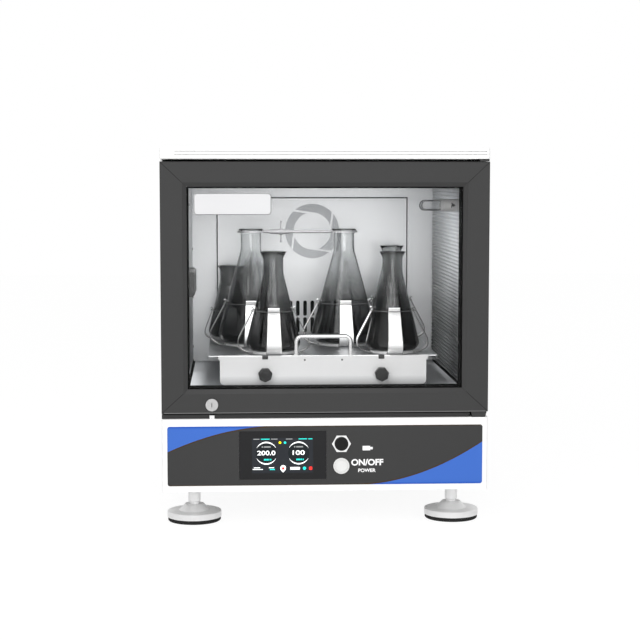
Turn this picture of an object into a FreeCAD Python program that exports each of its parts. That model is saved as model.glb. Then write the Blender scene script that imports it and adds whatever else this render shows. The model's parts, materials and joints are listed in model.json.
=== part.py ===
import FreeCAD, Part
import math
import os

# Bench-top orbital shaking incubator on levelling feet. Millimetres, +Z up, front towards -Y.
# The origin is the middle of the footprint, on the surface that the feet stand on.

os.makedirs("parts", exist_ok=True)

# Outer sizes
body_width = 560.0
fitting_reach = 6.0
foot_height = 64.0
base_height = 125.5
sill_gap = 9.7
door_height = 428.2
door_top_gap = 4.8
cover_height = 17.9
corner_radius = 4.0

# Sheet thicknesses
base_sheet = 2.0
plate_sheet = 2.5
wrap_sheet = 1.5
liner_sheet = 1.2
flange_sheet = 1.5
cover_sheet = 1.5

# Door
door_thickness = 36.0
stile_width = 44.8
top_rail_width = 42.6
bottom_rail_width = 41.0
edge_chamfer = 1.6
bevel_width = 7.5
bevel_depth = 5.0
lip_thickness = 1.2
rebate_overlap = 6.5
pane_thickness = 4.0
pane_gap = 14.0
spacer_width = 8.5
gasket_inset = 18.0
gasket_face_gap = 0.3
flange_gap = 5.0
mitre_gap = 0.1
hinge_inset = 12.0
hinge_pin_radius = 4.0
hinge_pin_clearance = 0.05
hinge_pin_length = 14.0
hinge_plate_gap = 0.5
hinge_bracket_width = 29.0
hinge_bracket_rise = 8.9
hinge_bracket_inset = 2.0
hinge_bracket_setback = 1.5
hinge_bracket_slant = 3.0
hinge_upper_inset = 12.0
hinge_upper_reach = 1.0

# Door lock
lock_inset = 85.6
lock_height = 14.8
lock_radius = 10.75
lock_proud = 3.0
plug_radius = 6.0
plug_clearance = 0.05
cam_length = 22.0
cam_width = 7.0
cam_thickness = 3.0
cam_setback = 28.0
cam_side_gap = 2.0
cam_face_gap = 1.0
barrel_step = 1.5
plug_recess = 0.4
keyway_width = 1.6
keyway_length = 7.2
keyway_depth = 6.0

# Sill under the door
sill_setback = 8.0
sill_height = 7.0
keeper_width = 8.4
keeper_height = 5.5
keeper_depth = 14.0
keeper_proud = 1.5
keeper_hole_radius = 1.6
cam_slot_gap = 3.0

# Chamber
left_wall = 42.0
right_wall = 36.0
floor_rise = 45.6
ceiling_drop = 42.7
duct_depth = 66.0
insulation_back = 42.0
service_depth = 58.0
rib_pitch = 6.6
rib_depth = 3.0
rib_web = 2.5
rib_margin = 5.0

# Air duct cover
field_width = 378.0
field_top = 29.0
field_bottom = 8.0
field_raise = 2.5
duct_sheet = 1.5
inlet_inner = 37.0
inlet_outer = 54.0
inlet_bridge = 3.8
inlet_bridge_lean = 8.0
inlet_arcs = 4
slot_width = 7.3
slot_length = 30.5
slot_pitch = 14.5
slot_columns = 9
slot_rows = 3
slot_row_pitch = 33.5
slot_bottom = 38.4

# Fan and heater
fan_radius = 62.0
fan_depth = 33.0
fan_blades = 12
fan_blade_sheet = 1.5
fan_blade_lean = 35.0
fan_plate = 2.0
fan_eye_inset = 6.0
fan_hub_radius = 12.0
fan_hub_length = 14.0
fan_shaft_radius = 4.0
fan_shaft_reach = 20.0
fan_nose_radius = 11.5
fan_nose_proud = 3.0
fan_clearance = 0.05
fan_to_wall = 18.0
fan_motor_radius = 38.0
fan_motor_length = 38.0
heater_radius = 85.0
heater_tube = 4.0
heater_setback = 33.0
heater_opening = 36.0
heater_ceiling_gap = 6.0

# Lamp and sensor guard
lamp_setback = 62.0
lamp_drop = 37.0
holder_radius = 10.85
holder_length = 41.0
lamp_tube_radius = 9.5
lamp_tube_wall = 1.2
lamp_reach = 37.0
lamp_socket_depth = 9.0
lamp_insertion = 7.0
dome_angles = (0.0, 0.5, 1.1)
window_size = 11.0
window_share = 0.55
window_depth = 1.0
guard_height = 46.0
guard_length = 130.0
guard_depth = 12.0
guard_chamfer = 4.0
guard_sheet = 1.5
guard_slots = 5
guard_slot_width = 6.0
guard_slot_height = 28.0
guard_setback = 150.0
guard_centre_height = 175.4

# Control panel
fascia_side_margin = 9.5
fascia_top_margin = 12.8
fascia_height = 102.3
fascia_radius = 4.0
fascia_proud = 0.6
fascia_thickness = 3.0
fit_gap = 0.2
display_width = 149.0
display_height = 83.2
display_right = 1.0
display_top = 8.6
display_body_inset = 4.0
display_body_depth = 16.0
control_x = 27.0
socket_drop = 31.0
socket_hex = 32.7
socket_plate = 2.5
socket_body_radius = 13.0
socket_body_length = 28.0
usb_slot_width = 13.2
usb_slot_height = 6.0
usb_slot_depth = 14.0
cap_radius = 11.75
cap_gap = 0.3
cap_seat = 1.2
cap_groove_inset = 3.5
cap_groove_depth = 0.4
switch_drop = 69.5
switch_radius = 13.75
switch_ring = 2.5
switch_body_radius = 12.8
switch_body_length = 32.0
button_radius = 11.5
button_clearance = 0.1
button_length = 9.0
button_dish = 0.8
button_travel = 3.0

# Electronics in the base
board_side_inset = 90.0
board_width = 130.0
board_depth = 90.0
board_setback = 37.0
board_standoff = 8.0
board_sheet = 1.6
board_margin = 6.0
board_post_radius = 3.0
can_radius = 5.0
can_height = 14.0
can_setback = 23.0
can_places = (98.0, 112.0)
# Blocks on the board: left, right, front, back, height
board_blocks = ((10.0, 40.0, 15.0, 55.0, 12.0), (60.0, 86.0, 23.0, 49.0, 3.0))
supply_side_inset = 85.0
supply_width = 120.0
supply_depth = 110.0
supply_height = 42.0
supply_setback = 40.0
supply_slots = 8
supply_slot_depth = 1.5
supply_slot_margin = 10.0

# Orbital drive
orbit_radius = 10.0
idler_side_inset = 20.0
# Crank axes, behind the platform's front edge
crank_back = 258.0
idler_back = 128.0
shaft_radius = 10.0
shaft_clearance = 0.05
seal_clearance = 0.3
seal_sleeve = 18.0
seal_flange = 24.0
seal_rise = 2.9
crank_disc_radius = 24.0
crank_disc_rise = 10.0
crank_disc_thickness = 8.0
idler_disc_radius = 20.0
pin_radius = 6.0
pin_length = 19.0
pin_clearance = 0.05
open_pivot_clearance = 0.25
weight_radius = 50.0
weight_half_angle = 60.0
drive_plate_rise = 40.0
drive_plate_sheet = 4.0
drive_plate_side_margin = 45.0
drive_plate_flange = 24.0
drive_plate_front_margin = 40.0
drive_plate_back_margin = 120.0
housing_flange = 34.0
housing_flange_thickness = 8.0
housing_radius = 26.0
housing_height = 57.0
pulley_gap = 6.0
pulley_width = 16.0
pulley_rim = 2.0
drive_pulley_radius = 60.0
pulley_holes = 4
pulley_hole_radius = 13.0
press_gap = 0.02
motor_pulley_radius = 20.0
motor_x = 110.0
motor_back = 75.0
motor_radius = 40.0
motor_deck_gap = 9.5
motor_face = 6.0
motor_corner = 10.0
motor_shaft_radius = 5.0
motor_shaft_clearance = 0.05
motor_shaft_length = 26.0
belt_thickness = 2.0
belt_gap = 0.3

# Platform
tray_width = 405.0
tray_setback = 79.0
tray_back_gap = 34.0
tray_rise = 54.4
tray_edge = 6.0
tray_sheet = 2.0
carriage_plate = 5.0
carriage_boss = 17.0
carriage_rib = 7.0
carriage_rib_depth = 16.0
carriage_boss_drop = 20.0
carriage_strut = 24.0
# Each window's corners: across, back from the middle line or from the idler pins
window_inner = 8.0
window_reach = (-26.0, 44.0)
window_outer = ((84.0, -2.0), (70.0, 34.0))
bar_width = 300.0
bar_thickness = 8.0
bar_height = 38.5
bar_setback = 2.0

# Front apron, its knobs and its handle
apron_lip_width = 368.0
apron_body_width = 362.0
apron_lip_depth = 10.0
apron_sheet = 2.0
apron_floor_gap = 3.9
apron_corner = 8.0
notch_width = 10.5
knob_x = 102.0
knob_drop = 32.0
knob_radius = 12.5
knob_sides = 7
knob_depth = 14.0
knob_gap = 0.3
knob_chamfer = 1.0
knob_shaft_radius = 3.0
knob_shaft_clearance = 0.05
handle_width = 103.0
handle_rise = 38.0
handle_bar_radius = 3.75
handle_bend = 10.5

# Levelling feet
foot_side_inset = 53.0
foot_inset = 75.0
stem_radius = 10.85
stem_clearance = 0.05
stem_neck_radius = 8.5
stem_neck_height = 8.0
stem_engagement = 30.0
boss_wall = 6.0
disc_radius = 47.5
disc_rim = 10.4
disc_slope = 1.0
hub_radius = 27.0
hub_top_radius = 16.4
hub_height = 11.0
hub_socket_depth = 5.0
pad_radius = 46.3
pad_height = 7.1
socket_gap = 0.3

# Rear and stacking interfaces
inlet_side_inset = 90.0
inlet_width = 48.0
inlet_plate_height = 28.0
inlet_rise = 42.0
inlet_depth = 20.0
inlet_ear = 10.0
inlet_rim = 3.0
inlet_flange = 2.0
inlet_floor = 3.0
inlet_cavity_width = 24.0
inlet_cavity_height = 16.0
inlet_pin_width = 2.0
inlet_pin_height = 4.0
inlet_pin_setback = 6.0
# The three pins: across, up
inlet_pins = ((-7.0, -2.0), (0.0, 2.0), (7.0, -2.0))
vent_width = 4.0
vent_length = 42.0
vent_pitch = 10.0
vent_count = 14
stacking_hole_radius = 5.5
groove_height = 2.0
groove_depth = 1.4
groove_heights = (7.0, 12.3)
groove_left_margin = 25.5
groove_right_margin = 3.0

# Glassware: base, neck and rim radius, height, neck height, and of the clamp's strips
# the height and how far they bulge past the base
flask_wall = 2.2
heel_share = 0.22
clamp_sheet = 1.2
clamp_base = 4.0
clamp_strips = 4
flask_sizes = {
    "small": (42.5, 19.5, 24.0, 137.0, 29.0, 62.0, 7.0),
    "medium": (49.0, 18.0, 23.5, 176.0, 38.0, 82.0, 14.5),
    "large": (62.5, 19.0, 23.0, 212.0, 39.0, 85.0, 14.5),
}
# Rows of flasks: from the platform's front and back edges, and from row to row
row_margin = 55.0
row_pitch_front = 143.0
row_pitch_back = 108.0
# Places on the platform: size, across from its middle, row, how far behind the row
flask_places = (
    ("medium", -86.0, "front", 0.0),
    ("medium", 127.0, "front", 0.0),
    ("large", -124.0, "middle", 0.0),
    ("large", 50.0, "middle", 0.0),
    ("medium", 150.0, "back", 0.0),
    ("small", -163.5, "back", 10.0),
)
strip_bottom_width = 28.0
strip_top_width = 20.0
strip_gap = 1.2
strip_hook = 4.0
strip_round = 1.5
strip_root = 5.0
clamp_disc_share = 0.8
# Heights of the strip's lower bends as shares, and how far out the lowest is
strip_wide_share = 0.345
strip_low_share = 0.74
strip_turn_share = 0.24
strip_turn_reach = 0.72
spring_drop = 4.0
spring_wire = 2.0
tie_rod_radius = 3.0
tie_sleeve_radius = 4.4
tie_sleeve_length = 36.0
tie_ring_wire = 1.8
tie_ring_drop = 5.4
tie_ring_gap = 0.25
tie_pin_height = 37.0
tie_pin_radius = 1.2
tie_pin_share = 0.58
tie_sleeve_offset = 12.0
tie_collar_rise = 1.4
tie_collar_length = 8.0
tie_knob_radius = 2.0
tie_knob_length = 3.0

# Levels and faces that follow from the sizes above
half_width = body_width / 2
flask_rows = {
    "front": row_margin,
    "middle": row_margin + row_pitch_front,
    "back": row_margin + row_pitch_front + row_pitch_back,
}
tray_depth = flask_rows["back"] + row_margin
inner_depth = tray_setback + tray_depth + tray_back_gap + duct_depth
body_depth = inner_depth + insulation_back + service_depth
y_front = -(body_depth + fitting_reach) / 2 + fitting_reach
y_rear = y_front + body_depth
z_base = foot_height
z_sill = z_base + base_height
z_door = z_sill + sill_gap
z_door_top = z_door + door_height
z_cover = z_door_top + door_top_gap
z_top = z_cover + cover_height
y_door_back = y_front + door_thickness
y_flange = y_door_back + flange_gap
y_liner = y_flange + flange_sheet
x_left = -half_width + left_wall
x_right = half_width - right_wall
z_floor = z_sill + floor_rise
z_ceiling = z_cover - ceiling_drop
y_back = y_front + inner_depth
y_duct = y_back - duct_depth
y_insulation = y_back + insulation_back
z_deck = z_sill - base_sheet
z_plate = z_base + plate_sheet
z_tray = z_floor + tray_rise
y_tray = y_front + tray_setback
z_clamp = z_tray + clamp_base
z_inlet = z_ceiling - heater_ceiling_gap - heater_tube - heater_radius
crank_y = y_tray + crank_back
idler_y = y_tray + idler_back
idler_x = bar_width / 2 - idler_side_inset
motor_y = crank_y + motor_back
z_drive_plate = z_base + drive_plate_rise + drive_plate_sheet
motor_height = z_deck - motor_deck_gap - z_drive_plate
crank_axes = ((0.0, crank_y), (-idler_x, idler_y), (idler_x, idler_y))
foot_x = half_width - foot_side_inset
inlet_x = half_width - inlet_side_inset
board_x = -half_width + board_side_inset
supply_x = -half_width + supply_side_inset
y_fascia = y_front - fascia_proud
y_fascia_back = y_fascia + fascia_thickness
z_fascia_top = z_sill - fascia_top_margin
z_disc = pad_height
z_disc_top = z_disc + disc_rim + disc_slope


def vec(x, y, z):
    return FreeCAD.Vector(x, y, z)


def block(x0, x1, y0, y1, z0, z1):
    return Part.makeBox(x1 - x0, y1 - y0, z1 - z0, vec(x0, y0, z0))


def rod(x, y, z, radius, length, axis=(0, 0, 1)):
    return Part.makeCylinder(radius, length, vec(x, y, z), vec(*axis))


def fuse(shapes):
    whole = shapes[0].fuse(shapes[1:]) if len(shapes) > 1 else shapes[0]
    return whole.removeSplitter()


def cut(shape, tools):
    return shape.cut(tools).removeSplitter()


def prism(points, direction):
    # A closed polygon of 3-D points, pushed along a vector.
    corners = [vec(*point) for point in points]
    wire = Part.makePolygon(corners + corners[:1])
    return Part.Face(wire).extrude(vec(*direction))


def upright_edges(shape):
    def is_upright(edge):
        a = edge.Vertexes[0].Point
        b = edge.Vertexes[-1].Point
        return abs(a.x - b.x) < 1e-6 and abs(a.y - b.y) < 1e-6
    return [edge for edge in shape.Edges if is_upright(edge)]


def rounded_block(x0, x1, y0, y1, z0, z1, radius):
    shape = block(x0, x1, y0, y1, z0, z1)
    return shape.makeFillet(radius, upright_edges(shape))


def rounded_slab(x0, x1, z0, z1, y0, y1, radius):
    # A slab facing -Y, with rounded corners in its outline.
    shape = block(x0, x1, y0, y1, z0, z1)
    corners = []
    for edge in shape.Edges:
        a = edge.Vertexes[0].Point
        b = edge.Vertexes[-1].Point
        if abs(a.x - b.x) < 1e-6 and abs(a.z - b.z) < 1e-6:
            corners.append(edge)
    return shape.makeFillet(radius, corners)


def lathe(profile, x, y, z, axis=(0, 0, 1)):
    # A closed profile of (radius, height) points, turned a full circle about an axis.
    wire = Part.makePolygon([vec(radius, 0, height) for radius, height in profile])
    solid = Part.Face(wire).revolve(vec(0, 0, 0), vec(0, 0, 1), 360)
    solid.Placement = FreeCAD.Placement(vec(x, y, z), FreeCAD.Rotation(vec(0, 0, 1), vec(*axis)))
    return solid


def upright_slot(x, z, width, length, y0, y1):
    # A slot whose ends are half octagons, through a wall facing -Y.
    half = length / 2
    w = width / 2
    c = w * (2 - math.sqrt(2))
    outline = ((-w, c - half), (c - w, -half), (w - c, -half), (w, c - half),
               (w, half - c), (w - c, half), (c - w, half), (-w, half - c))
    return prism([(x + u, y0, z + v) for u, v in outline], (0, y1 - y0, 0))


def save(name, shapes):
    solids = []
    for shape in shapes:
        solids += shape.Solids
    for solid in solids:
        if not solid.isValid() or solid.Volume < 1.0:
            print("bad solid in", name)
    shape = solids[0] if len(solids) == 1 else Part.makeCompound(solids)
    shape.exportStep("parts/" + name + ".step")


# Base

def base_housing():
    outer = rounded_block(-half_width, half_width, y_front, y_rear, z_base, z_sill, corner_radius)
    inner = rounded_block(
        -half_width + base_sheet, half_width - base_sheet, y_front + base_sheet,
        y_rear - base_sheet, z_base - 1, z_deck, corner_radius - base_sheet)
    fascia_hole = rounded_slab(
        -half_width + fascia_side_margin - fit_gap, half_width - fascia_side_margin + fit_gap,
        z_fascia_top - fascia_height - fit_gap, z_fascia_top + fit_gap,
        y_front - 1, y_front + base_sheet + 1, fascia_radius)
    tools = [inner, fascia_hole]
    for x, y in crank_axes:
        tools.append(rod(x, y, z_deck - 1, seal_sleeve + fit_gap, base_sheet + 2))
    tools.append(power_inlet_body(fit_gap))
    for i in range(vent_count):
        x = -inlet_x + (i - (vent_count - 1) / 2) * vent_pitch
        z = z_base + inlet_rise
        tools.append(block(
            x - vent_width / 2, x + vent_width / 2, y_rear - base_sheet - 1, y_rear + 1,
            z - vent_length / 2, z + vent_length / 2))
    return cut(outer, tools)


def foot_centres():
    for x in (-foot_x, foot_x):
        for y in (y_front + foot_inset, y_rear - foot_inset):
            yield x, y


def base_bottom_plate():
    plate = rounded_block(
        -half_width + base_sheet, half_width - base_sheet, y_front + base_sheet,
        y_rear - base_sheet, z_base, z_plate, corner_radius - base_sheet)
    bosses = []
    bores = []
    for x, y in foot_centres():
        bosses.append(rod(x, y, z_base, stem_radius + boss_wall, stem_engagement + 4))
        bores.append(rod(x, y, z_base - 1, stem_radius + stem_clearance, stem_engagement + 6))
    return cut(fuse([plate] + bosses), bores)


def foot_stem(x, y):
    top = z_base + stem_engagement
    seat = z_disc_top + hub_height - hub_socket_depth
    profile = (
        (0, seat), (stem_neck_radius, seat), (stem_neck_radius, seat + stem_neck_height),
        (stem_radius, seat + stem_neck_height + 2), (stem_radius, top - 1),
        (stem_radius - 1, top), (0, top), (0, seat))
    return lathe(profile, x, y, 0)


def foot_disc(x, y):
    hub_top = z_disc_top + hub_height
    socket = stem_neck_radius + socket_gap
    profile = (
        (0, z_disc), (disc_radius, z_disc), (disc_radius, z_disc + disc_rim - 1),
        (disc_radius - 1, z_disc + disc_rim), (hub_radius, z_disc_top),
        (hub_top_radius, hub_top), (socket, hub_top), (socket, hub_top - hub_socket_depth),
        (0, hub_top - hub_socket_depth), (0, z_disc))
    return lathe(profile, x, y, 0)


def foot_pad(x, y):
    profile = ((0, 0), (pad_radius - 1.5, 0), (pad_radius, 1.5), (pad_radius, pad_height),
               (0, pad_height), (0, 0))
    return lathe(profile, x, y, 0)


def power_inlet_body(grow=0.0):
    z = z_base + inlet_rise
    half_w = inlet_width / 2 - inlet_ear + grow
    half_h = inlet_plate_height / 2 - inlet_rim + grow
    return block(inlet_x - half_w, inlet_x + half_w, y_rear - inlet_depth, y_rear,
                 z - half_h, z + half_h)


def power_inlet():
    z = z_base + inlet_rise
    plate = rounded_slab(
        inlet_x - inlet_width / 2, inlet_x + inlet_width / 2, z - inlet_plate_height / 2,
        z + inlet_plate_height / 2, y_rear - base_sheet - inlet_flange, y_rear - base_sheet,
        corner_radius)
    body = power_inlet_body()
    cavity = block(
        inlet_x - inlet_cavity_width / 2, inlet_x + inlet_cavity_width / 2,
        y_rear - inlet_depth + inlet_floor, y_rear + 1, z - inlet_cavity_height / 2,
        z + inlet_cavity_height / 2)
    pins = []
    w = inlet_pin_width / 2
    h = inlet_pin_height / 2
    for across, up in inlet_pins:
        pins.append(block(
            inlet_x + across - w, inlet_x + across + w, y_rear - inlet_depth + 1,
            y_rear - inlet_pin_setback, z + up - h, z + up + h))
    return fuse([cut(fuse([plate, body]), [cavity])] + pins)


def fascia_span():
    return -half_width + fascia_side_margin, half_width - fascia_side_margin


def control_panel():
    x0, x1 = fascia_span()
    plate = rounded_slab(
        x0, x1, z_fascia_top - fascia_height, z_fascia_top, y_fascia, y_fascia_back, fascia_radius)
    z1 = z_fascia_top - display_top
    window = block(
        display_right - display_width - fit_gap, display_right + fit_gap, y_fascia - 1,
        y_fascia_back + 1, z1 - display_height - fit_gap, z1 + fit_gap)
    holes = [window]
    for drop, radius in ((socket_drop, socket_body_radius), (switch_drop, switch_body_radius)):
        holes.append(rod(control_x, y_fascia - 1, z_fascia_top - drop, radius + fit_gap,
                         fascia_thickness + 2, (0, 1, 0)))
    return cut(plate, holes)


def display_module():
    x0 = display_right - display_width
    z1 = z_fascia_top - display_top
    z0 = z1 - display_height
    glass = block(x0, display_right, y_fascia, y_fascia_back, z0, z1)
    body = block(
        x0 + display_body_inset, display_right - display_body_inset, y_fascia_back,
        y_fascia_back + display_body_depth, z0 + display_body_inset, z1 - display_body_inset)
    return fuse([glass, body])


def usb_socket():
    z = z_fascia_top - socket_drop
    y = y_fascia - socket_plate
    corners = []
    for i in range(6):
        angle = math.radians(60 * i)
        corners.append((control_x + socket_hex / 2 * math.cos(angle), y,
                        z + socket_hex / 2 * math.sin(angle)))
    nut = prism(corners, (0, socket_plate, 0))
    body = rod(control_x, y_fascia, z, socket_body_radius, socket_body_length, (0, 1, 0))
    seat = rod(control_x, y - 1, z, cap_radius + cap_gap, cap_seat + 1, (0, 1, 0))
    slot = block(control_x - usb_slot_width / 2, control_x + usb_slot_width / 2, y - 1,
                 y + cap_seat + usb_slot_depth, z - usb_slot_height / 2, z + usb_slot_height / 2)
    return cut(fuse([nut, body]), [seat, slot])


def usb_cap():
    z = z_fascia_top - socket_drop
    y = y_fascia - socket_plate + cap_seat - cap_gap
    face = y_front - fitting_reach
    length = y - face
    groove = cap_radius - cap_groove_inset
    profile = (
        (0, 0), (cap_radius, 0), (cap_radius, length), (groove, length),
        (groove, length - cap_groove_depth), (groove - 1, length - cap_groove_depth),
        (groove - 1, length), (0, length), (0, 0))
    return lathe(profile, control_x, y, z, (0, -1, 0))


def power_switch_body():
    z = z_fascia_top - switch_drop
    bore = button_radius + button_clearance
    rim = rod(control_x, y_fascia - switch_ring, z, switch_radius, switch_ring, (0, 1, 0))
    rim = rim.makeChamfer(0.8, [e for e in rim.Edges if e.Length > 10][:1])
    body = rod(control_x, y_fascia, z, switch_body_radius, switch_body_length, (0, 1, 0))
    hollow = rod(control_x, y_fascia - switch_ring - 1, z, bore,
                 switch_ring + 1 + button_length + button_travel + 2, (0, 1, 0))
    return cut(fuse([rim, body]), [hollow])


def power_button():
    z = z_fascia_top - switch_drop
    y = y_fascia - switch_ring
    profile = (
        (0, 0), (button_radius, 0), (button_radius, button_length - 0.6),
        (button_radius - 0.6, button_length), (button_radius - 1.8, button_length),
        (button_radius - 1.8 - button_dish, button_length - button_dish),
        (0, button_length - button_dish), (0, 0))
    return lathe(profile, control_x, y + button_length, z, (0, -1, 0))


def control_board():
    x1 = board_x + board_width
    y0 = y_front + board_setback
    y1 = y0 + board_depth
    z0 = z_plate + board_standoff
    z1 = z0 + board_sheet
    pieces = [block(board_x, x1, y0, y1, z0, z1)]
    for x in (board_x + board_margin, x1 - board_margin):
        for y in (y0 + board_margin, y1 - board_margin):
            pieces.append(rod(x, y, z_plate, board_post_radius, board_standoff))
    for left, right, front, back, tall in board_blocks:
        pieces.append(block(board_x + left, board_x + right, y0 + front, y0 + back, z1, z1 + tall))
    for across in can_places:
        pieces.append(rod(board_x + across, y0 + can_setback, z1, can_radius, can_height))
    return fuse(pieces)


def power_supply():
    y1 = y_rear - supply_setback
    y0 = y1 - supply_depth
    case = block(supply_x, supply_x + supply_width, y0, y1, z_plate, z_plate + supply_height)
    pitch = supply_width / supply_slots
    slots = []
    for i in range(supply_slots):
        x = supply_x + pitch * (i + 0.25)
        slots.append(block(
            x, x + pitch / 2, y0 + supply_slot_margin, y1 - supply_slot_margin,
            z_plate + supply_height - supply_slot_depth, z_plate + supply_height + 1))
    return cut(case, slots)


# Sill, hinges and door

def sill_strip():
    left = -half_width
    right = half_width - hinge_bracket_width - hinge_bracket_inset
    y0 = y_front + sill_setback
    strip = block(left, right, y0, y_flange, z_sill, z_sill + sill_height)
    lock_x = -half_width + lock_inset
    slot = block(
        lock_x - cam_length, lock_x + keeper_width / 2, y0 + keeper_depth + cam_slot_gap - 1,
        y_front + cam_setback + cam_thickness + cam_slot_gap, z_sill - 1, z_sill + sill_height + 1)
    notch = block(lock_x - keeper_width / 2, lock_x + keeper_width / 2, y0 - 1,
                  y0 + keeper_depth, z_sill - 1, z_sill + sill_height + 1)
    return cut(strip, [slot, notch])


def latch_keeper():
    lock_x = -half_width + lock_inset
    y0 = y_front + sill_setback
    plate = block(lock_x - keeper_width / 2, lock_x + keeper_width / 2, y0 - keeper_proud,
                  y0 + keeper_depth, z_sill, z_sill + keeper_height)
    hole = rod(lock_x, y0 + keeper_depth / 2, z_sill - 1, keeper_hole_radius, keeper_height + 2)
    return cut(plate, [hole])


def hinge_axis():
    return half_width - hinge_inset, y_front + hinge_inset


def hinge_brackets():
    x, y = hinge_axis()
    x1 = half_width - hinge_bracket_inset
    x0 = half_width - hinge_bracket_width
    slant = hinge_bracket_slant
    y0 = y_front + hinge_bracket_setback
    top = z_sill + hinge_bracket_rise
    lower = prism(
        ((x0 + slant, y0, z_sill), (x1 - slant, y0, z_sill), (x1, y0, top), (x0, y0, top)),
        (0, y_door_back - y0, 0))
    upper = block(x0 + hinge_upper_inset, x1 + hinge_upper_reach, y0, y_door_back,
                  z_door_top + hinge_plate_gap, z_cover)
    lower_pin = rod(x, y, top, hinge_pin_radius, z_door - top + hinge_pin_length)
    upper_pin = rod(x, y, z_door_top - hinge_pin_length, hinge_pin_radius,
                    hinge_pin_length + hinge_plate_gap)
    return [fuse([lower, lower_pin]), fuse([upper, upper_pin])]


def rail_section(width):
    # Width from the outer edge inwards, depth from the front face backwards.
    lip = width - rebate_overlap
    return (
        (0, edge_chamfer), (edge_chamfer, 0), (width - bevel_width, 0), (width, bevel_depth),
        (width, bevel_depth + lip_thickness), (lip, bevel_depth + lip_thickness),
        (lip, door_thickness), (0, door_thickness))


def door_frame():
    x0, x1 = -half_width, half_width
    z0, z1 = z_door, z_door_top
    ix0, ix1 = x0 + stile_width, x1 - stile_width
    iz0, iz1 = z0 + bottom_rail_width, z1 - top_rail_width
    g = mitre_gap / 2
    depth = (0, door_thickness, 0)

    def wedge(points):
        return prism([(x, y_front, z) for x, z in points], depth)

    left = prism([(x0 + u, y_front + v, z0) for u, v in rail_section(stile_width)],
                 (0, 0, z1 - z0))
    right = prism([(x1 - u, y_front + v, z0) for u, v in rail_section(stile_width)],
                  (0, 0, z1 - z0))
    bottom = prism([(x0, y_front + v, z0 + u) for u, v in rail_section(bottom_rail_width)],
                   (x1 - x0, 0, 0))
    top = prism([(x0, y_front + v, z1 - u) for u, v in rail_section(top_rail_width)],
                (x1 - x0, 0, 0))
    left = left.common(wedge(((x0, z0 + g), (ix0, iz0 + g), (ix0, iz1 - g), (x0, z1 - g))))
    right = right.common(wedge(((x1, z0 + g), (ix1, iz0 + g), (ix1, iz1 - g), (x1, z1 - g))))
    bottom = bottom.common(wedge(((x0, z0 - g), (x1, z0 - g), (ix1, iz0 - g), (ix0, iz0 - g))))
    top = top.common(wedge(((x0, z1 + g), (x1, z1 + g), (ix1, iz1 + g), (ix0, iz1 + g))))
    x, y = hinge_axis()
    bore = hinge_pin_radius + hinge_pin_clearance
    lower_bore = rod(x, y, z0 - 1, bore, hinge_pin_length + 2)
    upper_bore = rod(x, y, z1 - hinge_pin_length - 1, bore, hinge_pin_length + 2)
    bores = [lower_bore, upper_bore]
    lock_x, lock_z = lock_centre()
    pocket = block(
        lock_x - cam_length - cam_side_gap, lock_x + cam_width / 2 + cam_side_gap,
        y_front + cam_setback - cam_face_gap,
        y_front + cam_setback + cam_thickness + cam_face_gap, z0 - 1,
        lock_z + cam_width / 2 + cam_side_gap)
    barrel = rod(lock_x, y_front - 1, lock_z, lock_radius - barrel_step, door_thickness + 2,
                 (0, 1, 0))
    bottom = cut(bottom, bores + [pocket, barrel])
    return [left, cut(right, bores), bottom, cut(top, bores)]


def pane_box(y0, thickness, shrink=0.5):
    x = half_width - stile_width + rebate_overlap - shrink
    z0 = z_door + bottom_rail_width - rebate_overlap + shrink
    z1 = z_door_top - top_rail_width + rebate_overlap - shrink
    return block(-x, x, y0, y0 + thickness, z0, z1)


def pane_levels():
    outer = y_front + bevel_depth + lip_thickness
    spacer = outer + pane_thickness
    inner = spacer + pane_gap
    return outer, spacer, inner


def glass_spacer():
    _, spacer, inner = pane_levels()
    whole = pane_box(spacer, pane_gap)
    box = whole.BoundBox
    w = spacer_width
    hole = block(box.XMin + w, box.XMax - w, spacer - 1, inner + 1, box.ZMin + w, box.ZMax - w)
    return cut(whole, [hole])


def door_gasket():
    _, _, inner = pane_levels()
    y_bead = inner + pane_thickness
    bead = pane_box(y_bead, y_door_back - y_bead)
    x1 = half_width - gasket_inset
    strip = rounded_slab(
        -x1, x1, z_door + gasket_inset, z_door_top - gasket_inset, y_door_back,
        y_flange - gasket_face_gap, 3)
    box = bead.BoundBox
    w = spacer_width
    hole = block(box.XMin + w, box.XMax - w, y_bead - 1, y_flange + 1, box.ZMin + w, box.ZMax - w)
    return cut(fuse([bead, strip]), [hole])


def lock_centre():
    return -half_width + lock_inset, z_door + lock_height


def lock_barrel():
    x, z = lock_centre()
    head = rod(x, y_front - lock_proud, z, lock_radius, lock_proud, (0, 1, 0))
    front = [edge for edge in head.Edges if abs(edge.BoundBox.YMax - head.BoundBox.YMin) < 1e-3]
    head = head.makeChamfer(0.8, front)
    body = rod(x, y_front, z, lock_radius - barrel_step - fit_gap, cam_setback - barrel_step,
               (0, 1, 0))
    bore = rod(x, y_front - lock_proud - 1, z, plug_radius + plug_clearance,
               cam_setback + lock_proud + 2, (0, 1, 0))
    return cut(fuse([head, body]), [bore])


def lock_cam():
    x, z = lock_centre()
    y0 = y_front - lock_proud + plug_recess
    plug = rod(x, y0, z, plug_radius, y_front + cam_setback - y0, (0, 1, 0))
    keyway = block(x - keyway_width / 2, x + keyway_width / 2, y0 - 1, y0 + keyway_depth,
                   z - keyway_length / 2, z + keyway_length / 2)
    y_cam = y_front + cam_setback
    half = cam_width / 2
    arm = block(x - cam_length, x, y_cam, y_cam + cam_thickness, z - half, z + half)
    hub = rod(x, y_cam, z, half, cam_thickness, (0, 1, 0))
    return fuse([cut(plug, [keyway]), arm, hub])


# Cabinet

def front_flange():
    plate = block(-half_width, half_width, y_flange, y_liner, z_sill, z_cover)
    opening = block(x_left, x_right, y_flange - 1, y_liner + 1, z_floor, z_ceiling)
    return cut(plate, [opening])


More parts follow.
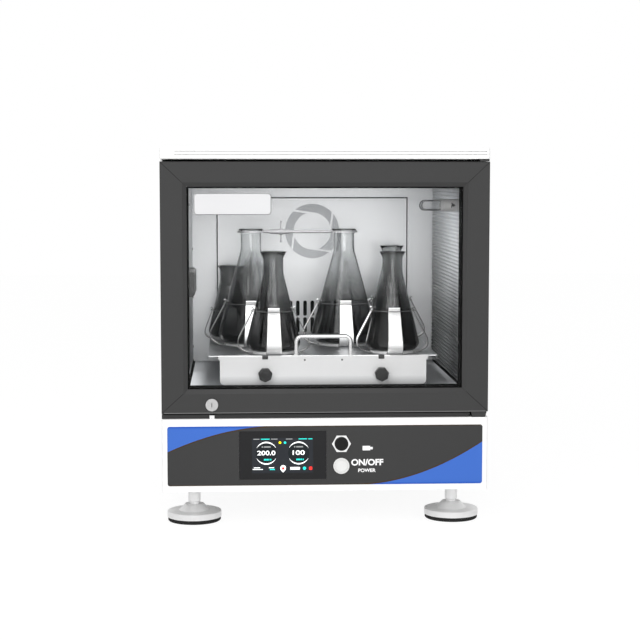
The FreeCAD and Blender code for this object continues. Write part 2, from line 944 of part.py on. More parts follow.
def cabinet_wrap():
    def walls(inset, z0, z1):
        return block(-half_width + inset, half_width - inset, y_liner, y_rear - inset, z0, z1)
    outer = walls(0, z_sill, z_cover)
    back = [e for e in upright_edges(outer) if abs(e.Vertexes[0].Point.y - y_rear) < 1e-3]
    outer = outer.makeFillet(corner_radius, back)
    inner = walls(wrap_sheet, z_sill - 1, z_cover + 1)
    inner = inner.fuse(block(-half_width + wrap_sheet, half_width - wrap_sheet, y_liner - 1,
                             y_liner + 5, z_sill - 1, z_cover + 1))
    tools = [inner]
    for i in range(vent_count):
        x = (i - (vent_count - 1) / 2) * vent_pitch
        z = z_inlet
        tools.append(block(
            x - vent_width / 2, x + vent_width / 2, y_rear - wrap_sheet - 1, y_rear + 1,
            z - vent_length / 2, z + vent_length / 2))
    return cut(outer, tools)


def top_cover():
    outer = rounded_block(-half_width, half_width, y_front, y_rear, z_cover, z_top, corner_radius)
    cavity = block(
        -half_width + cover_sheet, half_width - cover_sheet, y_liner + 4,
        y_rear - cover_sheet, z_cover - 1, z_top - cover_sheet)
    tools = [cavity]
    for height in groove_heights:
        z = z_cover + height
        tools.append(block(
            -half_width + groove_left_margin, half_width - groove_right_margin, y_front - 1,
            y_front + groove_depth, z - groove_height / 2, z + groove_height / 2))
    for x, y in foot_centres():
        if y < 0:
            tools.append(rod(x, y, z_cover - 1, stacking_hole_radius, cover_height + 2))
        else:
            tools.append(rod(x, y, z_top - cover_sheet - 1, stacking_hole_radius,
                             cover_sheet + 2))
    return cut(outer, tools)


def chamber_liner():
    t = liner_sheet
    outer = block(x_left - t, x_right + t, y_liner, y_back + t, z_floor - t, z_ceiling + t)
    inner = block(x_left, x_right, y_liner - 1, y_back, z_floor, z_ceiling)
    tools = [inner]
    for x, y in crank_axes:
        tools.append(rod(x, y, z_floor - t - 1, seal_sleeve + fit_gap, t + 2))
    tools.append(rod(0, y_back - 1, z_inlet, fan_nose_radius + 0.5, t + 2,
                     (0, 1, 0)))
    return cut(outer, tools)


def insulation():
    w = half_width - wrap_sheet
    outer = block(-w, w, y_liner, y_insulation, z_sill, z_cover)
    t = liner_sheet
    pocket = block(x_left - t, x_right + t, y_liner - 1, y_back + t, z_floor - t, z_ceiling + t)
    tools = [pocket]
    for x, y in crank_axes:
        tools.append(rod(x, y, z_sill - 1, seal_sleeve + fit_gap, floor_rise + 2))
    tools.append(rod(0, y_back, z_inlet, fan_motor_radius + 1,
                     insulation_back + 2, (0, 1, 0)))
    return cut(outer, tools)


def ribbed_side_panel():
    x_web = x_right - rib_web
    z0 = z_floor + rib_margin
    count = int((z_ceiling - z_floor - 2 * rib_margin) / rib_pitch)
    y0 = y_liner + 2
    points = [(x_right, y0, z0), (x_web, y0, z0)]
    for i in range(count):
        z = z0 + i * rib_pitch
        points.append((x_web - rib_depth, y0, z + rib_pitch * 0.45))
        points.append((x_web, y0, z + rib_pitch * 0.72))
        points.append((x_web, y0, z + rib_pitch))
    points.append((x_right, y0, z0 + count * rib_pitch))
    panel = prism(points, (0, y_duct - 1 - y0, 0))
    y, z = lamp_centre()
    hole = rod(x_web - rib_depth - 1, y, z, holder_radius + 0.3, rib_depth + rib_web + 2, (1, 0, 0))
    return cut(panel, [hole])


def duct_cover():
    z0 = z_floor + field_bottom
    z1 = z_ceiling - field_top
    half = field_width / 2
    y1 = y_duct + field_raise
    t = duct_sheet
    back = block(x_left, x_right, y1, y1 + t, z_floor, z_ceiling)
    field = block(-half, half, y_duct, y1, z0, z1)
    pocket = block(-half + t, half - t, y_duct + t, y1 + t + 1, z0 + t, z1 - t)
    tools = [pocket]
    z = z_inlet
    annulus = rod(0, y_duct - 1, z, inlet_outer, t + 2, (0, 1, 0))
    annulus = annulus.cut(rod(0, y_duct - 2, z, inlet_inner, t + 4, (0, 1, 0)))
    # Each bridge leaves the inner disc along its tangent and ends in the outer edge.
    bridges = []
    for i in range(inlet_arcs):
        bar = block(-inlet_outer, 0, y_duct - 2, y_duct + t + 2,
                    z + inlet_inner - inlet_bridge, z + inlet_inner)
        bar.rotate(vec(0, 0, z), vec(0, 1, 0), inlet_bridge_lean + i * 360.0 / inlet_arcs)
        bridges.append(bar)
    tools += annulus.cut(bridges).Solids
    for row in range(slot_rows):
        for column in range(slot_columns):
            x = (column - (slot_columns - 1) / 2) * slot_pitch
            tools.append(upright_slot(x, z_floor + slot_bottom + row * slot_row_pitch, slot_width,
                                 slot_length, y_duct - 1, y_duct + t + 1))
    return cut(fuse([back, field]), tools)


def fan_impeller():
    z = z_inlet
    y1 = y_back - fan_to_wall
    y0 = y1 - fan_depth
    plate = rod(0, y1 - fan_plate, z, fan_radius, fan_plate, (0, 1, 0))
    shroud = rod(0, y0, z, fan_radius, fan_plate, (0, 1, 0))
    shroud = shroud.cut(rod(0, y0 - 1, z, inlet_inner - fan_eye_inset, fan_plate + 2, (0, 1, 0)))
    hub = rod(0, y1 - fan_hub_length, z, fan_hub_radius, fan_hub_length, (0, 1, 0))
    shaft = rod(0, y1, z, fan_shaft_radius, fan_to_wall + fan_shaft_reach, (0, 1, 0))
    pieces = [plate, shroud, hub, shaft]
    for i in range(fan_blades):
        blade = block(inlet_inner - fan_plate, fan_radius - fan_plate, y0 + 1, y1 - 1,
                      z - fan_blade_sheet / 2, z + fan_blade_sheet / 2)
        blade.rotate(vec(inlet_inner, 0, z), vec(0, 1, 0), fan_blade_lean)
        blade.rotate(vec(0, 0, z), vec(0, 1, 0), i * 360.0 / fan_blades)
        pieces.append(blade)
    return fuse(pieces)


def fan_motor():
    z = z_inlet
    y0 = y_back + liner_sheet
    body = rod(0, y0, z, fan_motor_radius, fan_motor_length, (0, 1, 0))
    nose = rod(0, y_back - fan_nose_proud, z, fan_nose_radius, liner_sheet + fan_nose_proud + 1,
               (0, 1, 0))
    bore = rod(0, y_back - fan_nose_proud - 1, z, fan_shaft_radius + fan_clearance,
               fan_shaft_reach + fan_nose_proud + 7, (0, 1, 0))
    return cut(fuse([body, nose]), [bore])


def heater():
    z = z_inlet
    y = y_back - heater_setback
    r = heater_radius
    t = heater_tube
    profile = ((r - t, 0), (r + t, 0), (r + t, 2 * t), (r - t, 2 * t), (r - t, 0))
    coil = lathe(profile, 0, y - t, z, (0, 1, 0))
    gap = block(-heater_opening / 2, heater_opening / 2, y - t - 1, y + t + 1,
                z - r - t - 1, z - r / 2)
    legs = []
    for side in (-1, 1):
        x = side * (heater_opening / 2 + t)
        legs.append(rod(x, y, z - math.sqrt(r * r - x * x), t, heater_setback, (0, 1, 0)))
    return fuse([cut(coil, [gap])] + legs)


def lamp_centre():
    return y_front + lamp_setback, z_ceiling - lamp_drop


def lamp_holder():
    y, z = lamp_centre()
    x0 = x_right - holder_length
    body = rod(x0, y, z, holder_radius, holder_length, (1, 0, 0))
    bore = rod(x0 - 1, y, z, lamp_tube_radius + 0.1, lamp_socket_depth, (1, 0, 0))
    x = x0 + holder_length * window_share
    half = window_size / 2
    face = y - holder_radius - 1
    window = prism(((x, face, z - half), (x + window_size, face, z), (x, face, z + half)),
                   (0, holder_radius * 0.35 + window_depth + 1, 0))
    return cut(body, [bore, window])


def lamp_glass():
    y, z = lamp_centre()
    x1 = x_right - holder_length + lamp_insertion
    tip = x_right - holder_length - lamp_reach
    r = lamp_tube_radius
    t = lamp_tube_wall
    straight = x1 - tip - r
    outer = [(r * math.cos(a), straight + r * math.sin(a)) for a in dome_angles]
    inner = [((r - t) * math.cos(a), straight + (r - t) * math.sin(a)) for a in dome_angles]
    profile = [(r - t, 0), (r, 0)] + outer + [(0, straight + r), (0, straight + r - t)]
    profile += inner[::-1] + [(r - t, 0)]
    return lathe(profile, x1, y, z, (-1, 0, 0))


def sensor_guard():
    y0 = y_front + guard_setback
    z = z_floor + guard_centre_height
    half = guard_height / 2
    x1 = x_left + guard_depth
    c = guard_chamfer
    points = (
        (x_left, y0, z - half), (x1 - c, y0, z - half), (x1, y0, z - half + c),
        (x1, y0, z + half - c), (x1 - c, y0, z + half), (x_left, y0, z + half))
    body = prism(points, (0, guard_length, 0))
    t = guard_sheet
    hollow = block(x_left - 1, x1 - t, y0 + t, y0 + guard_length - t, z - half + c, z + half - c)
    slots = []
    for i in range(guard_slots):
        y = y0 + guard_length * (i + 1) / (guard_slots + 1)
        slots.append(block(
            x1 - 2 * t, x1 + 1, y - guard_slot_width / 2, y + guard_slot_width / 2,
            z - guard_slot_height / 2, z + guard_slot_height / 2))
    return cut(body, [hollow] + slots)


# Drive

def shaft_seals():
    seals = []
    for x, y in crank_axes:
        sleeve = rod(x, y, z_deck, seal_sleeve, z_floor - z_deck)
        flange = rod(x, y, z_floor, seal_flange, seal_rise)
        bore = rod(x, y, z_deck - 1, shaft_radius + seal_clearance, z_floor - z_deck + 6)
        seals.append(cut(fuse([sleeve, flange]), [bore]))
    return seals


def drive_plate():
    z0 = z_base + drive_plate_rise
    t = drive_plate_sheet
    half = idler_x + drive_plate_side_margin
    out = half + drive_plate_flange
    outline = (
        (-out, z_deck), (-half, z_deck), (-half + t, z_deck - t), (-half + t, z0 + t),
        (half - t, z0 + t), (half - t, z_deck - t), (half, z_deck), (out, z_deck),
        (out, z_deck - t), (half, z_deck - t), (half, z0), (-half, z0), (-half, z_deck - t),
        (-out, z_deck - t))
    y0 = idler_y - drive_plate_front_margin
    y1 = crank_y + drive_plate_back_margin
    plate = prism([(x, y0, z) for x, z in outline], (0, y1 - y0, 0))
    holes = []
    for x, y in crank_axes:
        holes.append(rod(x, y, z0 - 1, shaft_radius + 1, t + 2))
    holes.append(rod(motor_x, motor_y, z0 - 1, motor_shaft_radius + 2, t + 2))
    return cut(plate, holes)


def bearing_housings():
    z0 = z_drive_plate
    housings = []
    for x, y in crank_axes:
        flange = rod(x, y, z0, housing_flange, housing_flange_thickness)
        body = rod(x, y, z0, housing_radius, housing_height)
        bore = rod(x, y, z0 - 1, shaft_radius + shaft_clearance, housing_height + 2)
        housings.append(cut(fuse([flange, body]), [bore]))
    return housings


def pulley(x, y, radius, bore):
    z1 = z_base + drive_plate_rise - pulley_gap
    z0 = z1 - pulley_width
    profile = (
        (bore, z0), (radius + pulley_rim, z0), (radius + pulley_rim, z0 + pulley_rim),
        (radius, z0 + pulley_rim), (radius, z1 - pulley_rim), (radius + pulley_rim, z1 - pulley_rim),
        (radius + pulley_rim, z1), (bore, z1), (bore, z0))
    return lathe(profile, x, y, 0)


def drive_pulley():
    wheel = pulley(0, crank_y, drive_pulley_radius, shaft_radius + press_gap)
    z0 = z_base + drive_plate_rise - pulley_gap - pulley_width
    holes = []
    for i in range(pulley_holes):
        a = 2 * math.pi * i / pulley_holes
        r = (shaft_radius + drive_pulley_radius) / 2
        holes.append(rod(r * math.cos(a), crank_y + r * math.sin(a), z0 - 1, pulley_hole_radius,
                         pulley_width + 2))
    return cut(wheel, holes)


def motor_pulley():
    wheel = pulley(motor_x, motor_y, motor_pulley_radius, motor_shaft_radius - 1)
    z0 = z_base + drive_plate_rise - pulley_gap - pulley_width
    length = pulley_width + pulley_gap + drive_plate_sheet + motor_shaft_length
    return fuse([wheel, rod(motor_x, motor_y, z0, motor_shaft_radius, length)])


def drive_motor():
    z0 = z_drive_plate
    can = rod(motor_x, motor_y, z0 + motor_face, motor_radius, motor_height - motor_face)
    face = block(motor_x - motor_radius, motor_x + motor_radius, motor_y - motor_radius,
                 motor_y + motor_radius, z0, z0 + motor_face)
    face = face.makeChamfer(motor_corner, upright_edges(face))
    bore = rod(motor_x, motor_y, z0 - 1, motor_shaft_radius + motor_shaft_clearance,
               motor_shaft_length + 2)
    return cut(fuse([can, face]), [bore])


def belt_loop(big, small):
    # The outline of a belt round two pulleys of the given radii: two arcs and two tangents.
    dx = motor_x
    dy = motor_y - crank_y
    distance = math.hypot(dx, dy)
    heading = math.atan2(dy, dx)
    lean = math.acos((big - small) / distance)
    z = z_base + drive_plate_rise - pulley_gap - pulley_width + pulley_rim + 1

    def at(x, y, radius, angle):
        return vec(x + radius * math.cos(angle), y + radius * math.sin(angle), z)

    a = at(0, crank_y, big, heading + lean)
    b = at(0, crank_y, big, heading + math.pi)
    c = at(0, crank_y, big, heading - lean)
    d = at(motor_x, motor_y, small, heading - lean)
    e = at(motor_x, motor_y, small, heading)
    f = at(motor_x, motor_y, small, heading + lean)
    edges = [Part.Arc(a, b, c).toShape(), Part.LineSegment(c, d).toShape(),
             Part.Arc(d, e, f).toShape(), Part.LineSegment(f, a).toShape()]
    width = pulley_width - 2 * pulley_rim - 2
    return Part.Face(Part.Wire(edges)).extrude(vec(0, 0, width))


def drive_belt():
    t = belt_thickness
    inner = belt_loop(drive_pulley_radius + belt_gap, motor_pulley_radius + belt_gap)
    outer = belt_loop(drive_pulley_radius + belt_gap + t, motor_pulley_radius + belt_gap + t)
    return outer.cut(inner)


def crank(x, y, disc_radius_here, radius_of_pin, z0):
    z_disc_bottom = z_floor + crank_disc_rise
    z_disc_end = z_disc_bottom + crank_disc_thickness
    shaft = rod(x, y, z0, shaft_radius, z_disc_bottom - z0)
    disc = rod(x, y, z_disc_bottom, disc_radius_here, crank_disc_thickness)
    pin = rod(x, y - orbit_radius, z_disc_end, radius_of_pin, pin_length)
    return [shaft, disc, pin]


def drive_crank():
    z0 = z_base + drive_plate_rise - pulley_gap - pulley_width
    pieces = crank(0, crank_y, crank_disc_radius, pin_radius, z0)
    z = z_floor + crank_disc_rise
    sector = Part.makeCylinder(weight_radius, crank_disc_thickness, vec(0, crank_y, z),
                               vec(0, 0, 1), 2 * weight_half_angle)
    sector.rotate(vec(0, crank_y, z), vec(0, 0, 1), 90 - weight_half_angle)
    return fuse(pieces + [sector])


def idler_crank(side):
    z0 = z_drive_plate
    thin_pin = pin_radius + pin_clearance - open_pivot_clearance
    return fuse(crank(side * idler_x, idler_y, idler_disc_radius, thin_pin, z0))


# Platform

def pin_places():
    return [(x, y - orbit_radius) for x, y in crank_axes]


def carriage():
    z1 = z_tray - tray_sheet
    z0 = z1 - carriage_plate
    pins = pin_places()
    z_boss = z0 - carriage_boss_drop
    bosses = [rod(x, y, z_boss, carriage_boss, z1 - z_boss) for x, y in pins]
    (cx, cy), (lx, ly), (rx, ry) = pins
    grow = carriage_boss
    plate = prism(((lx - grow, ly - grow, z0), (rx + grow, ry - grow, z0),
                   (rx + grow, ry + grow, z0), (cx + grow, cy + grow, z0),
                   (cx - grow, cy + grow, z0), (lx - grow, ly + grow, z0)),
                  (0, 0, carriage_plate))
    middle_y = (cy + 2 * ly) / 3
    windows = []
    outline = [(window_inner, middle_y + window_reach[0])]
    outline += [(x, ly + y) for x, y in window_outer]
    outline.append((window_inner, middle_y + window_reach[1]))
    for side in (-1, 1):
        windows.append(prism([(side * x, y, z0 - 1) for x, y in outline],
                             (0, 0, carriage_plate + 2)))
    ribs = []
    for (ax, ay), (bx, by) in ((pins[0], pins[1]), (pins[0], pins[2]), (pins[1], pins[2])):
        length = math.hypot(bx - ax, by - ay)
        rib = block(0, length, -carriage_rib / 2, carriage_rib / 2, z0 - carriage_rib_depth, z0)
        rib.rotate(vec(0, 0, 0), vec(0, 0, 1), math.degrees(math.atan2(by - ay, bx - ax)))
        rib.translate(vec(ax, ay, 0))
        ribs.append(rib)
    y_bar = y_tray + bar_setback
    bar = block(-bar_width / 2, bar_width / 2, y_bar, y_bar + bar_thickness,
                z1 - bar_height, z1)
    struts = []
    for x in (-knob_x, knob_x):
        struts.append(block(x - carriage_strut / 2, x + carriage_strut / 2, y_bar, ly, z0, z1))
    body = fuse([plate] + bosses + ribs + [bar] + struts)
    bores = []
    for x, y in pins:
        bores.append(rod(x, y, z_boss - 1, pin_radius + pin_clearance, pin_top() + 2 - z_boss))
    for x in (-knob_x, knob_x):
        bores.append(rod(x, y_bar - 1, z_tray - knob_drop, knob_shaft_radius +
                         knob_shaft_clearance, bar_thickness + 2, (0, 1, 0)))
    return cut(body, windows + bores)


def pin_top():
    return z_floor + crank_disc_rise + crank_disc_thickness + pin_length


def platform_tray():
    half = tray_width / 2
    outer = rounded_block(-half, half, y_tray, y_tray + tray_depth, z_tray - tray_edge, z_tray, 3)
    pocket = block(-half + tray_sheet, half - tray_sheet, y_tray - 1,
                   y_tray + tray_depth - tray_sheet, z_tray - tray_edge - 1, z_tray - tray_sheet)
    return cut(outer, [pocket])


def front_apron():
    y0 = y_tray - apron_lip_depth
    half_lip = apron_lip_width / 2
    half = apron_body_width / 2
    lip = block(-half_lip, half_lip, y0, y_tray, z_tray - tray_edge, z_tray)
    lip_hollow = block(-half_lip - 1, half_lip + 1, y0 + apron_sheet, y_tray - apron_sheet,
                       z_tray - tray_edge - 1, z_tray - apron_sheet)
    sheet = rounded_slab(-half, half, z_floor + apron_floor_gap, z_tray - tray_edge + 1,
                         y0, y0 + apron_sheet, apron_corner)
    square_top = block(-half, half, y0, y0 + apron_sheet, z_tray - tray_edge - apron_corner - 2,
                       z_tray - tray_edge + 1)
    tools = [lip_hollow]
    for x in (-knob_x, knob_x):
        tools.append(block(x - notch_width / 2, x + notch_width / 2, y0 - 1, y0 + apron_sheet + 3,
                           z_tray - tray_edge, z_tray + 1))
        tools.append(rod(x, y0 - 1, z_tray - knob_drop, knob_shaft_radius + 0.3,
                         apron_sheet + 2, (0, 1, 0)))
    return cut(fuse([lip, sheet, square_top]), tools)


def apron_handle():
    y = y_tray - apron_lip_depth / 2
    half = handle_width / 2 - handle_bar_radius
    top = z_tray + handle_rise - handle_bar_radius
    b = handle_bend
    s = b * (1 - math.sqrt(0.5))
    left_foot = vec(-half, y, z_tray)
    left_bend = vec(-half, y, top - b)
    left_top = vec(-half + b, y, top)
    right_top = vec(half - b, y, top)
    right_bend = vec(half, y, top - b)
    right_foot = vec(half, y, z_tray)
    path = Part.Wire([
        Part.LineSegment(left_foot, left_bend).toShape(),
        Part.Arc(left_bend, vec(-half + s, y, top - s), left_top).toShape(),
        Part.LineSegment(left_top, right_top).toShape(),
        Part.Arc(right_top, vec(half - s, y, top - s), right_bend).toShape(),
        Part.LineSegment(right_bend, right_foot).toShape()])
    circle = Part.Wire(Part.makeCircle(handle_bar_radius, left_foot, vec(0, 0, 1)))
    return path.makePipeShell([circle], True, True)


def lock_knob(side):
    x = side * knob_x
    z = z_tray - knob_drop
    y1 = y_tray - apron_lip_depth - knob_gap
    y0 = y1 - knob_depth
    corners = []
    for i in range(knob_sides):
        a = math.radians(-90 + 360.0 * i / knob_sides)
        corners.append((x + knob_radius * math.cos(a), y0, z + knob_radius * math.sin(a)))
    head = prism(corners, (0, knob_depth, 0))
    front = [e for e in head.Edges if abs(e.BoundBox.YMax - y0) < 1e-3]
    head = head.makeChamfer(knob_chamfer, front)
    length = y_tray + bar_setback + bar_thickness - 1 - y1
    shaft = rod(x, y1 - 1, z, knob_shaft_radius, length + 1, (0, 1, 0))
    return fuse([head, shaft])


# Glassware and its spring clamps

def flask_centre(place):
    _, across, row, further = place
    return across, y_tray + flask_rows[row] + further


def flask(size, x, y):
    base, neck, rim, height, neck_length, _, _ = flask_sizes[size]
    t = flask_wall
    low = base * heel_share
    heel = low * 0.35
    shoulder = height - neck_length
    flare = rim - neck
    profile = (
        (0, 0), (base - low, 0), (base - heel, heel), (base, low), (neck, shoulder),
        (neck, height - 2 * flare), (rim, height), (rim - t, height),
        (neck - t, height - 2 * flare), (neck - t, shoulder), (base - t, low),
        (base - low, t * 1.2), (0, t * 1.2), (0, 0))
    return lathe(profile, x, y, z_clamp)


def flask_radius(size, height):
    base, neck, _, full, neck_length, _, _ = flask_sizes[size]
    low = base * heel_share
    shoulder = full - neck_length
    share = (height - low) / (shoulder - low)
    return base - (base - neck) * share


def strip_bends(size):
    # Radius of the clamp's disc, then the strip's widest place and its upper bend.
    base, _, _, _, _, tall, bulge = flask_sizes[size]
    top_radius = flask_radius(size, tall - clamp_base) + strip_gap + clamp_sheet
    foot = base * clamp_disc_share
    widest = base + bulge
    return foot, (widest - strip_round, tall * strip_wide_share), (top_radius, tall - strip_hook)


def strip_outline(size):
    # The bent strip in its own upright plane, as (radius, height) above the platform.
    foot, (wide, wide_height), (top_radius, top_height) = strip_bends(size)
    t = clamp_sheet
    bulge = wide + strip_round
    low = wide_height * strip_low_share
    turn = foot + (bulge - foot) * strip_turn_reach
    turn_height = wide_height * strip_turn_share
    end = top_radius + strip_hook
    outer = ((foot - strip_root, 0), (foot, 0), (turn, turn_height), (bulge, low),
             (wide, wide_height), (top_radius, top_height), (end, top_height + strip_hook))
    inner = ((end - t * 0.9, top_height + strip_hook + t * 0.6), (top_radius - t, top_height),
             (wide - t, wide_height - t * 0.3), (bulge - t, low),
             (turn - t * 0.7, turn_height + t * 0.8), (foot - t * 0.2, t), (foot - strip_root, t))
    return outer + inner


def clamp(size, x, y):
    base, _, _, _, _, tall, bulge = flask_sizes[size]
    disc = rod(x, y, z_tray, base * clamp_disc_share, clamp_base)
    strips = []
    half = strip_bottom_width / 2
    top_half = strip_top_width / 2
    reach = base + 2 * bulge
    sides = prism(((0, -half, -1), (0, half, -1), (0, top_half, tall + 2), (0, -top_half, tall + 2)),
                  (reach, 0, 0))
    for i in range(clamp_strips):
        strip = prism([(r, -half, h) for r, h in strip_outline(size)], (0, 2 * half, 0))
        strip = strip.common(sides)
        strip.rotate(vec(0, 0, 0), vec(0, 0, 1), i * 360.0 / clamp_strips)
        strip.translate(vec(x, y, z_tray))
        strips.append(strip)
    return fuse([disc] + strips)


def clamp_spring(size, x, y):
    _, (wide, wide_height), (top_radius, top_height) = strip_bends(size)
    height = top_height - spring_drop
    share = spring_drop / (top_height - wide_height)
    outside = top_radius + (wide - top_radius) * share
    inner = math.hypot(outside, strip_top_width / 2 + 1.0) + fit_gap
    w = spring_wire
    profile = ((inner, 0), (inner + w, 0), (inner + w, w), (inner, w), (inner, 0))
    return lathe(profile, x, y, z_tray + height)


def tie_rod():
    places = [place for place in flask_places if place[0] == "large"]
    (x0, y), (x1, _) = flask_centre(places[0]), flask_centre(places[1])
    _, neck, rim, height, _, _, _ = flask_sizes["large"]
    z = z_clamp + height - tie_ring_drop
    w = tie_ring_wire
    flare = rim - neck
    ring_radius = neck + flare * (2 * flare - tie_ring_drop + w) / (2 * flare) + w + tie_ring_gap
    section = ((ring_radius - w, -w), (ring_radius + w, -w), (ring_radius + w, w),
               (ring_radius - w, w), (ring_radius - w, -w))
    rings = [lathe(section, x, y, z) for x in (x0, x1)]
    bar = rod(x0 + ring_radius, y, z, tie_rod_radius, x1 - x0 - 2 * ring_radius, (1, 0, 0))
    sleeve_x = x0 + ring_radius + tie_sleeve_offset
    sleeve = rod(sleeve_x, y, z, tie_sleeve_radius, tie_sleeve_length, (1, 0, 0))
    pin_x = sleeve_x + tie_sleeve_length * tie_pin_share
    collar = rod(pin_x - tie_collar_length / 2, y, z, tie_sleeve_radius + tie_collar_rise,
                 tie_collar_length, (1, 0, 0))
    pin = rod(pin_x, y, z - tie_pin_height / 2, tie_pin_radius, tie_pin_height)
    pieces = [bar, sleeve, collar, pin]
    for side in (-1, 1):
        pieces.append(rod(pin_x, y, z + (side * tie_pin_height - tie_knob_length) / 2,
                          tie_knob_radius, tie_knob_length))
    return fuse(pieces + rings)


# Write every piece

save("base_housing", [base_housing()])
save("base_bottom_plate", [base_bottom_plate()])
save("control_panel", [control_panel()])
save("display_module", [display_module()])
save("usb_socket", [usb_socket()])
save("usb_cap", [usb_cap()])
save("power_switch_body", [power_switch_body()])
save("power_button", [power_button()])
save("power_inlet", [power_inlet()])
save("control_board", [control_board()])
save("power_supply", [power_supply()])
save("foot_discs", [foot_disc(x, y) for x, y in foot_centres()])
save("foot_pads", [foot_pad(x, y) for x, y in foot_centres()])
for number, (foot_cx, foot_cy) in enumerate(foot_centres()):
    save("foot_stem_" + str(number + 1), [foot_stem(foot_cx, foot_cy)])

save("sill_strip", [sill_strip()])
save("latch_keeper", [latch_keeper()])
save("hinge_brackets", hinge_brackets())
save("door_frame", door_frame())
outer_pane, _, inner_pane = pane_levels()
save("door_glass_outer", [pane_box(outer_pane, pane_thickness)])
save("door_glass_inner", [pane_box(inner_pane, pane_thickness)])
save("glass_spacer", [glass_spacer()])
save("door_gasket", [door_gasket()])
save("lock_barrel", [lock_barrel()])
save("lock_cam", [lock_cam()])

save("front_flange", [front_flange()])
save("cabinet_wrap", [cabinet_wrap()])
save("top_cover", [top_cover()])
save("chamber_liner", [chamber_liner()])
save("insulation", [insulation()])
save("ribbed_side_panel", [ribbed_side_panel()])
save("duct_cover", [duct_cover()])
save("fan_impeller", [fan_impeller()])
save("fan_motor", [fan_motor()])
save("heater", [heater()])
save("lamp_holder", [lamp_holder()])
save("lamp_glass", [lamp_glass()])
save("sensor_guard", [sensor_guard()])

save("shaft_seals", shaft_seals())
save("drive_plate", [drive_plate()])
save("bearing_housings", bearing_housings())
save("drive_motor", [drive_motor()])
save("motor_pulley", [motor_pulley()])
save("drive_belt", [drive_belt()])
save("drive_pulley", [drive_pulley()])
save("drive_crank", [drive_crank()])
save("idler_crank_left", [idler_crank(-1)])
save("idler_crank_right", [idler_crank(1)])

save("carriage", [carriage()])
save("platform_tray", [platform_tray()])
save("front_apron", [front_apron()])
save("apron_handle", [apron_handle()])
save("lock_knob_left", [lock_knob(-1)])
save("lock_knob_right", [lock_knob(1)])
save("flask_clamps", [clamp(place[0], *flask_centre(place)) for place in flask_places])
save("clamp_springs", [clamp_spring(place[0], *flask_centre(place)) for place in flask_places])
save("flasks", [flask(place[0], *flask_centre(place)) for place in flask_places])
save("tie_rod", [tie_rod()])
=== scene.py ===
import json
import math

import bmesh
import bpy
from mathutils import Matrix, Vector


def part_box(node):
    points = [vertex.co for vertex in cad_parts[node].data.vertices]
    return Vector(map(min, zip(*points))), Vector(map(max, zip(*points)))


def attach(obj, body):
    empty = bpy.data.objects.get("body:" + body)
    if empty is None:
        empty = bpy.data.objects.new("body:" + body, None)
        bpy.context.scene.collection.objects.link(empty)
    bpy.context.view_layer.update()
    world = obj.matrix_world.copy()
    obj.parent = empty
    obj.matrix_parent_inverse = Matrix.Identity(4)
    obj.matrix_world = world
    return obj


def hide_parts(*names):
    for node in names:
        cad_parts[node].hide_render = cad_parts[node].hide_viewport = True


# Looks of a bench-top shaking incubator. Metres, +Z up, front towards -Y.

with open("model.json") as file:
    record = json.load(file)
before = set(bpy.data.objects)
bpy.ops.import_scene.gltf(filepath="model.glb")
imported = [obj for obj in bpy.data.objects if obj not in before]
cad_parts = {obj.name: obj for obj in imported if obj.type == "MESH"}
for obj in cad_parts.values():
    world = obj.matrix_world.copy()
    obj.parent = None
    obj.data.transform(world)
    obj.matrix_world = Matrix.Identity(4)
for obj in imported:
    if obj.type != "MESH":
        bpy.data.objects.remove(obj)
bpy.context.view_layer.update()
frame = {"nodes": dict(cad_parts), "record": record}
nodes = frame["nodes"]

# Places read from the frame
PANEL_LOW, PANEL_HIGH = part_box("control_panel")
DISPLAY_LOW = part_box("display_module")[0]
PANE_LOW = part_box("door_glass_outer")[0]
LINER_LOW, LINER_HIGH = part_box("chamber_liner")
DUCT_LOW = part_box("duct_cover")[0]
APRON_LOW, APRON_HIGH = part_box("front_apron")
TRAY_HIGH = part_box("platform_tray")[1]
HOLDER_LOW, HOLDER_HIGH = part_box("lamp_holder")
TUBE_LOW, TUBE_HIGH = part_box("lamp_glass")
FRAME_LOW, FRAME_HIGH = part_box("door_frame")

# The chamber's inner faces lie one sheet within the liner's box
LINER_SHEET = 0.0012
CHAMBER_FLOOR = LINER_LOW.z + LINER_SHEET
CHAMBER_TOP = LINER_HIGH.z - LINER_SHEET
CHAMBER_LEFT = LINER_LOW.x + LINER_SHEET
CHAMBER_RIGHT = LINER_HIGH.x - LINER_SHEET

# Camera, as the photograph was taken
CAMERA_PLACE = (-0.1533, -3.0301, 0.5997)
CAMERA_PITCH = math.radians(-5.069)
CAMERA_YAW = math.radians(-3.030)
CAMERA_LENS = 90.06
CAMERA_SENSOR = 36.0


# Materials

# Sockets of the Mix node that blend two colours
MIX_SHARE = 0
MIX_FIRST = 6
MIX_SECOND = 7
MIX_RESULT = 2


def new_material(name):
    material = bpy.data.materials.new(name)
    material.use_nodes = True
    tree = material.node_tree
    shader = tree.nodes["Principled BSDF"]
    return material, tree, shader


def node(tree, kind, **values):
    made = tree.nodes.new(kind)
    for key, value in values.items():
        setattr(made, key, value)
    return made


def math_node(tree, operation, first, second=None, clamp=False):
    made = node(tree, "ShaderNodeMath", operation=operation, use_clamp=clamp)
    for socket, value in zip(made.inputs, (first, second)):
        if value is None:
            continue
        if isinstance(value, (int, float)):
            socket.default_value = value
        else:
            tree.links.new(value, socket)
    return made.outputs[0]


def mix_colour(tree, share, first, second):
    """From the first colour, where share is 0, to the second, where it is 1."""
    made = node(tree, "ShaderNodeMix", data_type="RGBA")
    tree.links.new(share, made.inputs[MIX_SHARE])
    for place, value in ((MIX_FIRST, first), (MIX_SECOND, second)):
        if isinstance(value, tuple):
            made.inputs[place].default_value = (*value, 1.0)
        else:
            tree.links.new(value, made.inputs[place])
    return made.outputs[MIX_RESULT]


def place_of(tree):
    coordinates = node(tree, "ShaderNodeTexCoord")
    return coordinates.outputs["Object"]


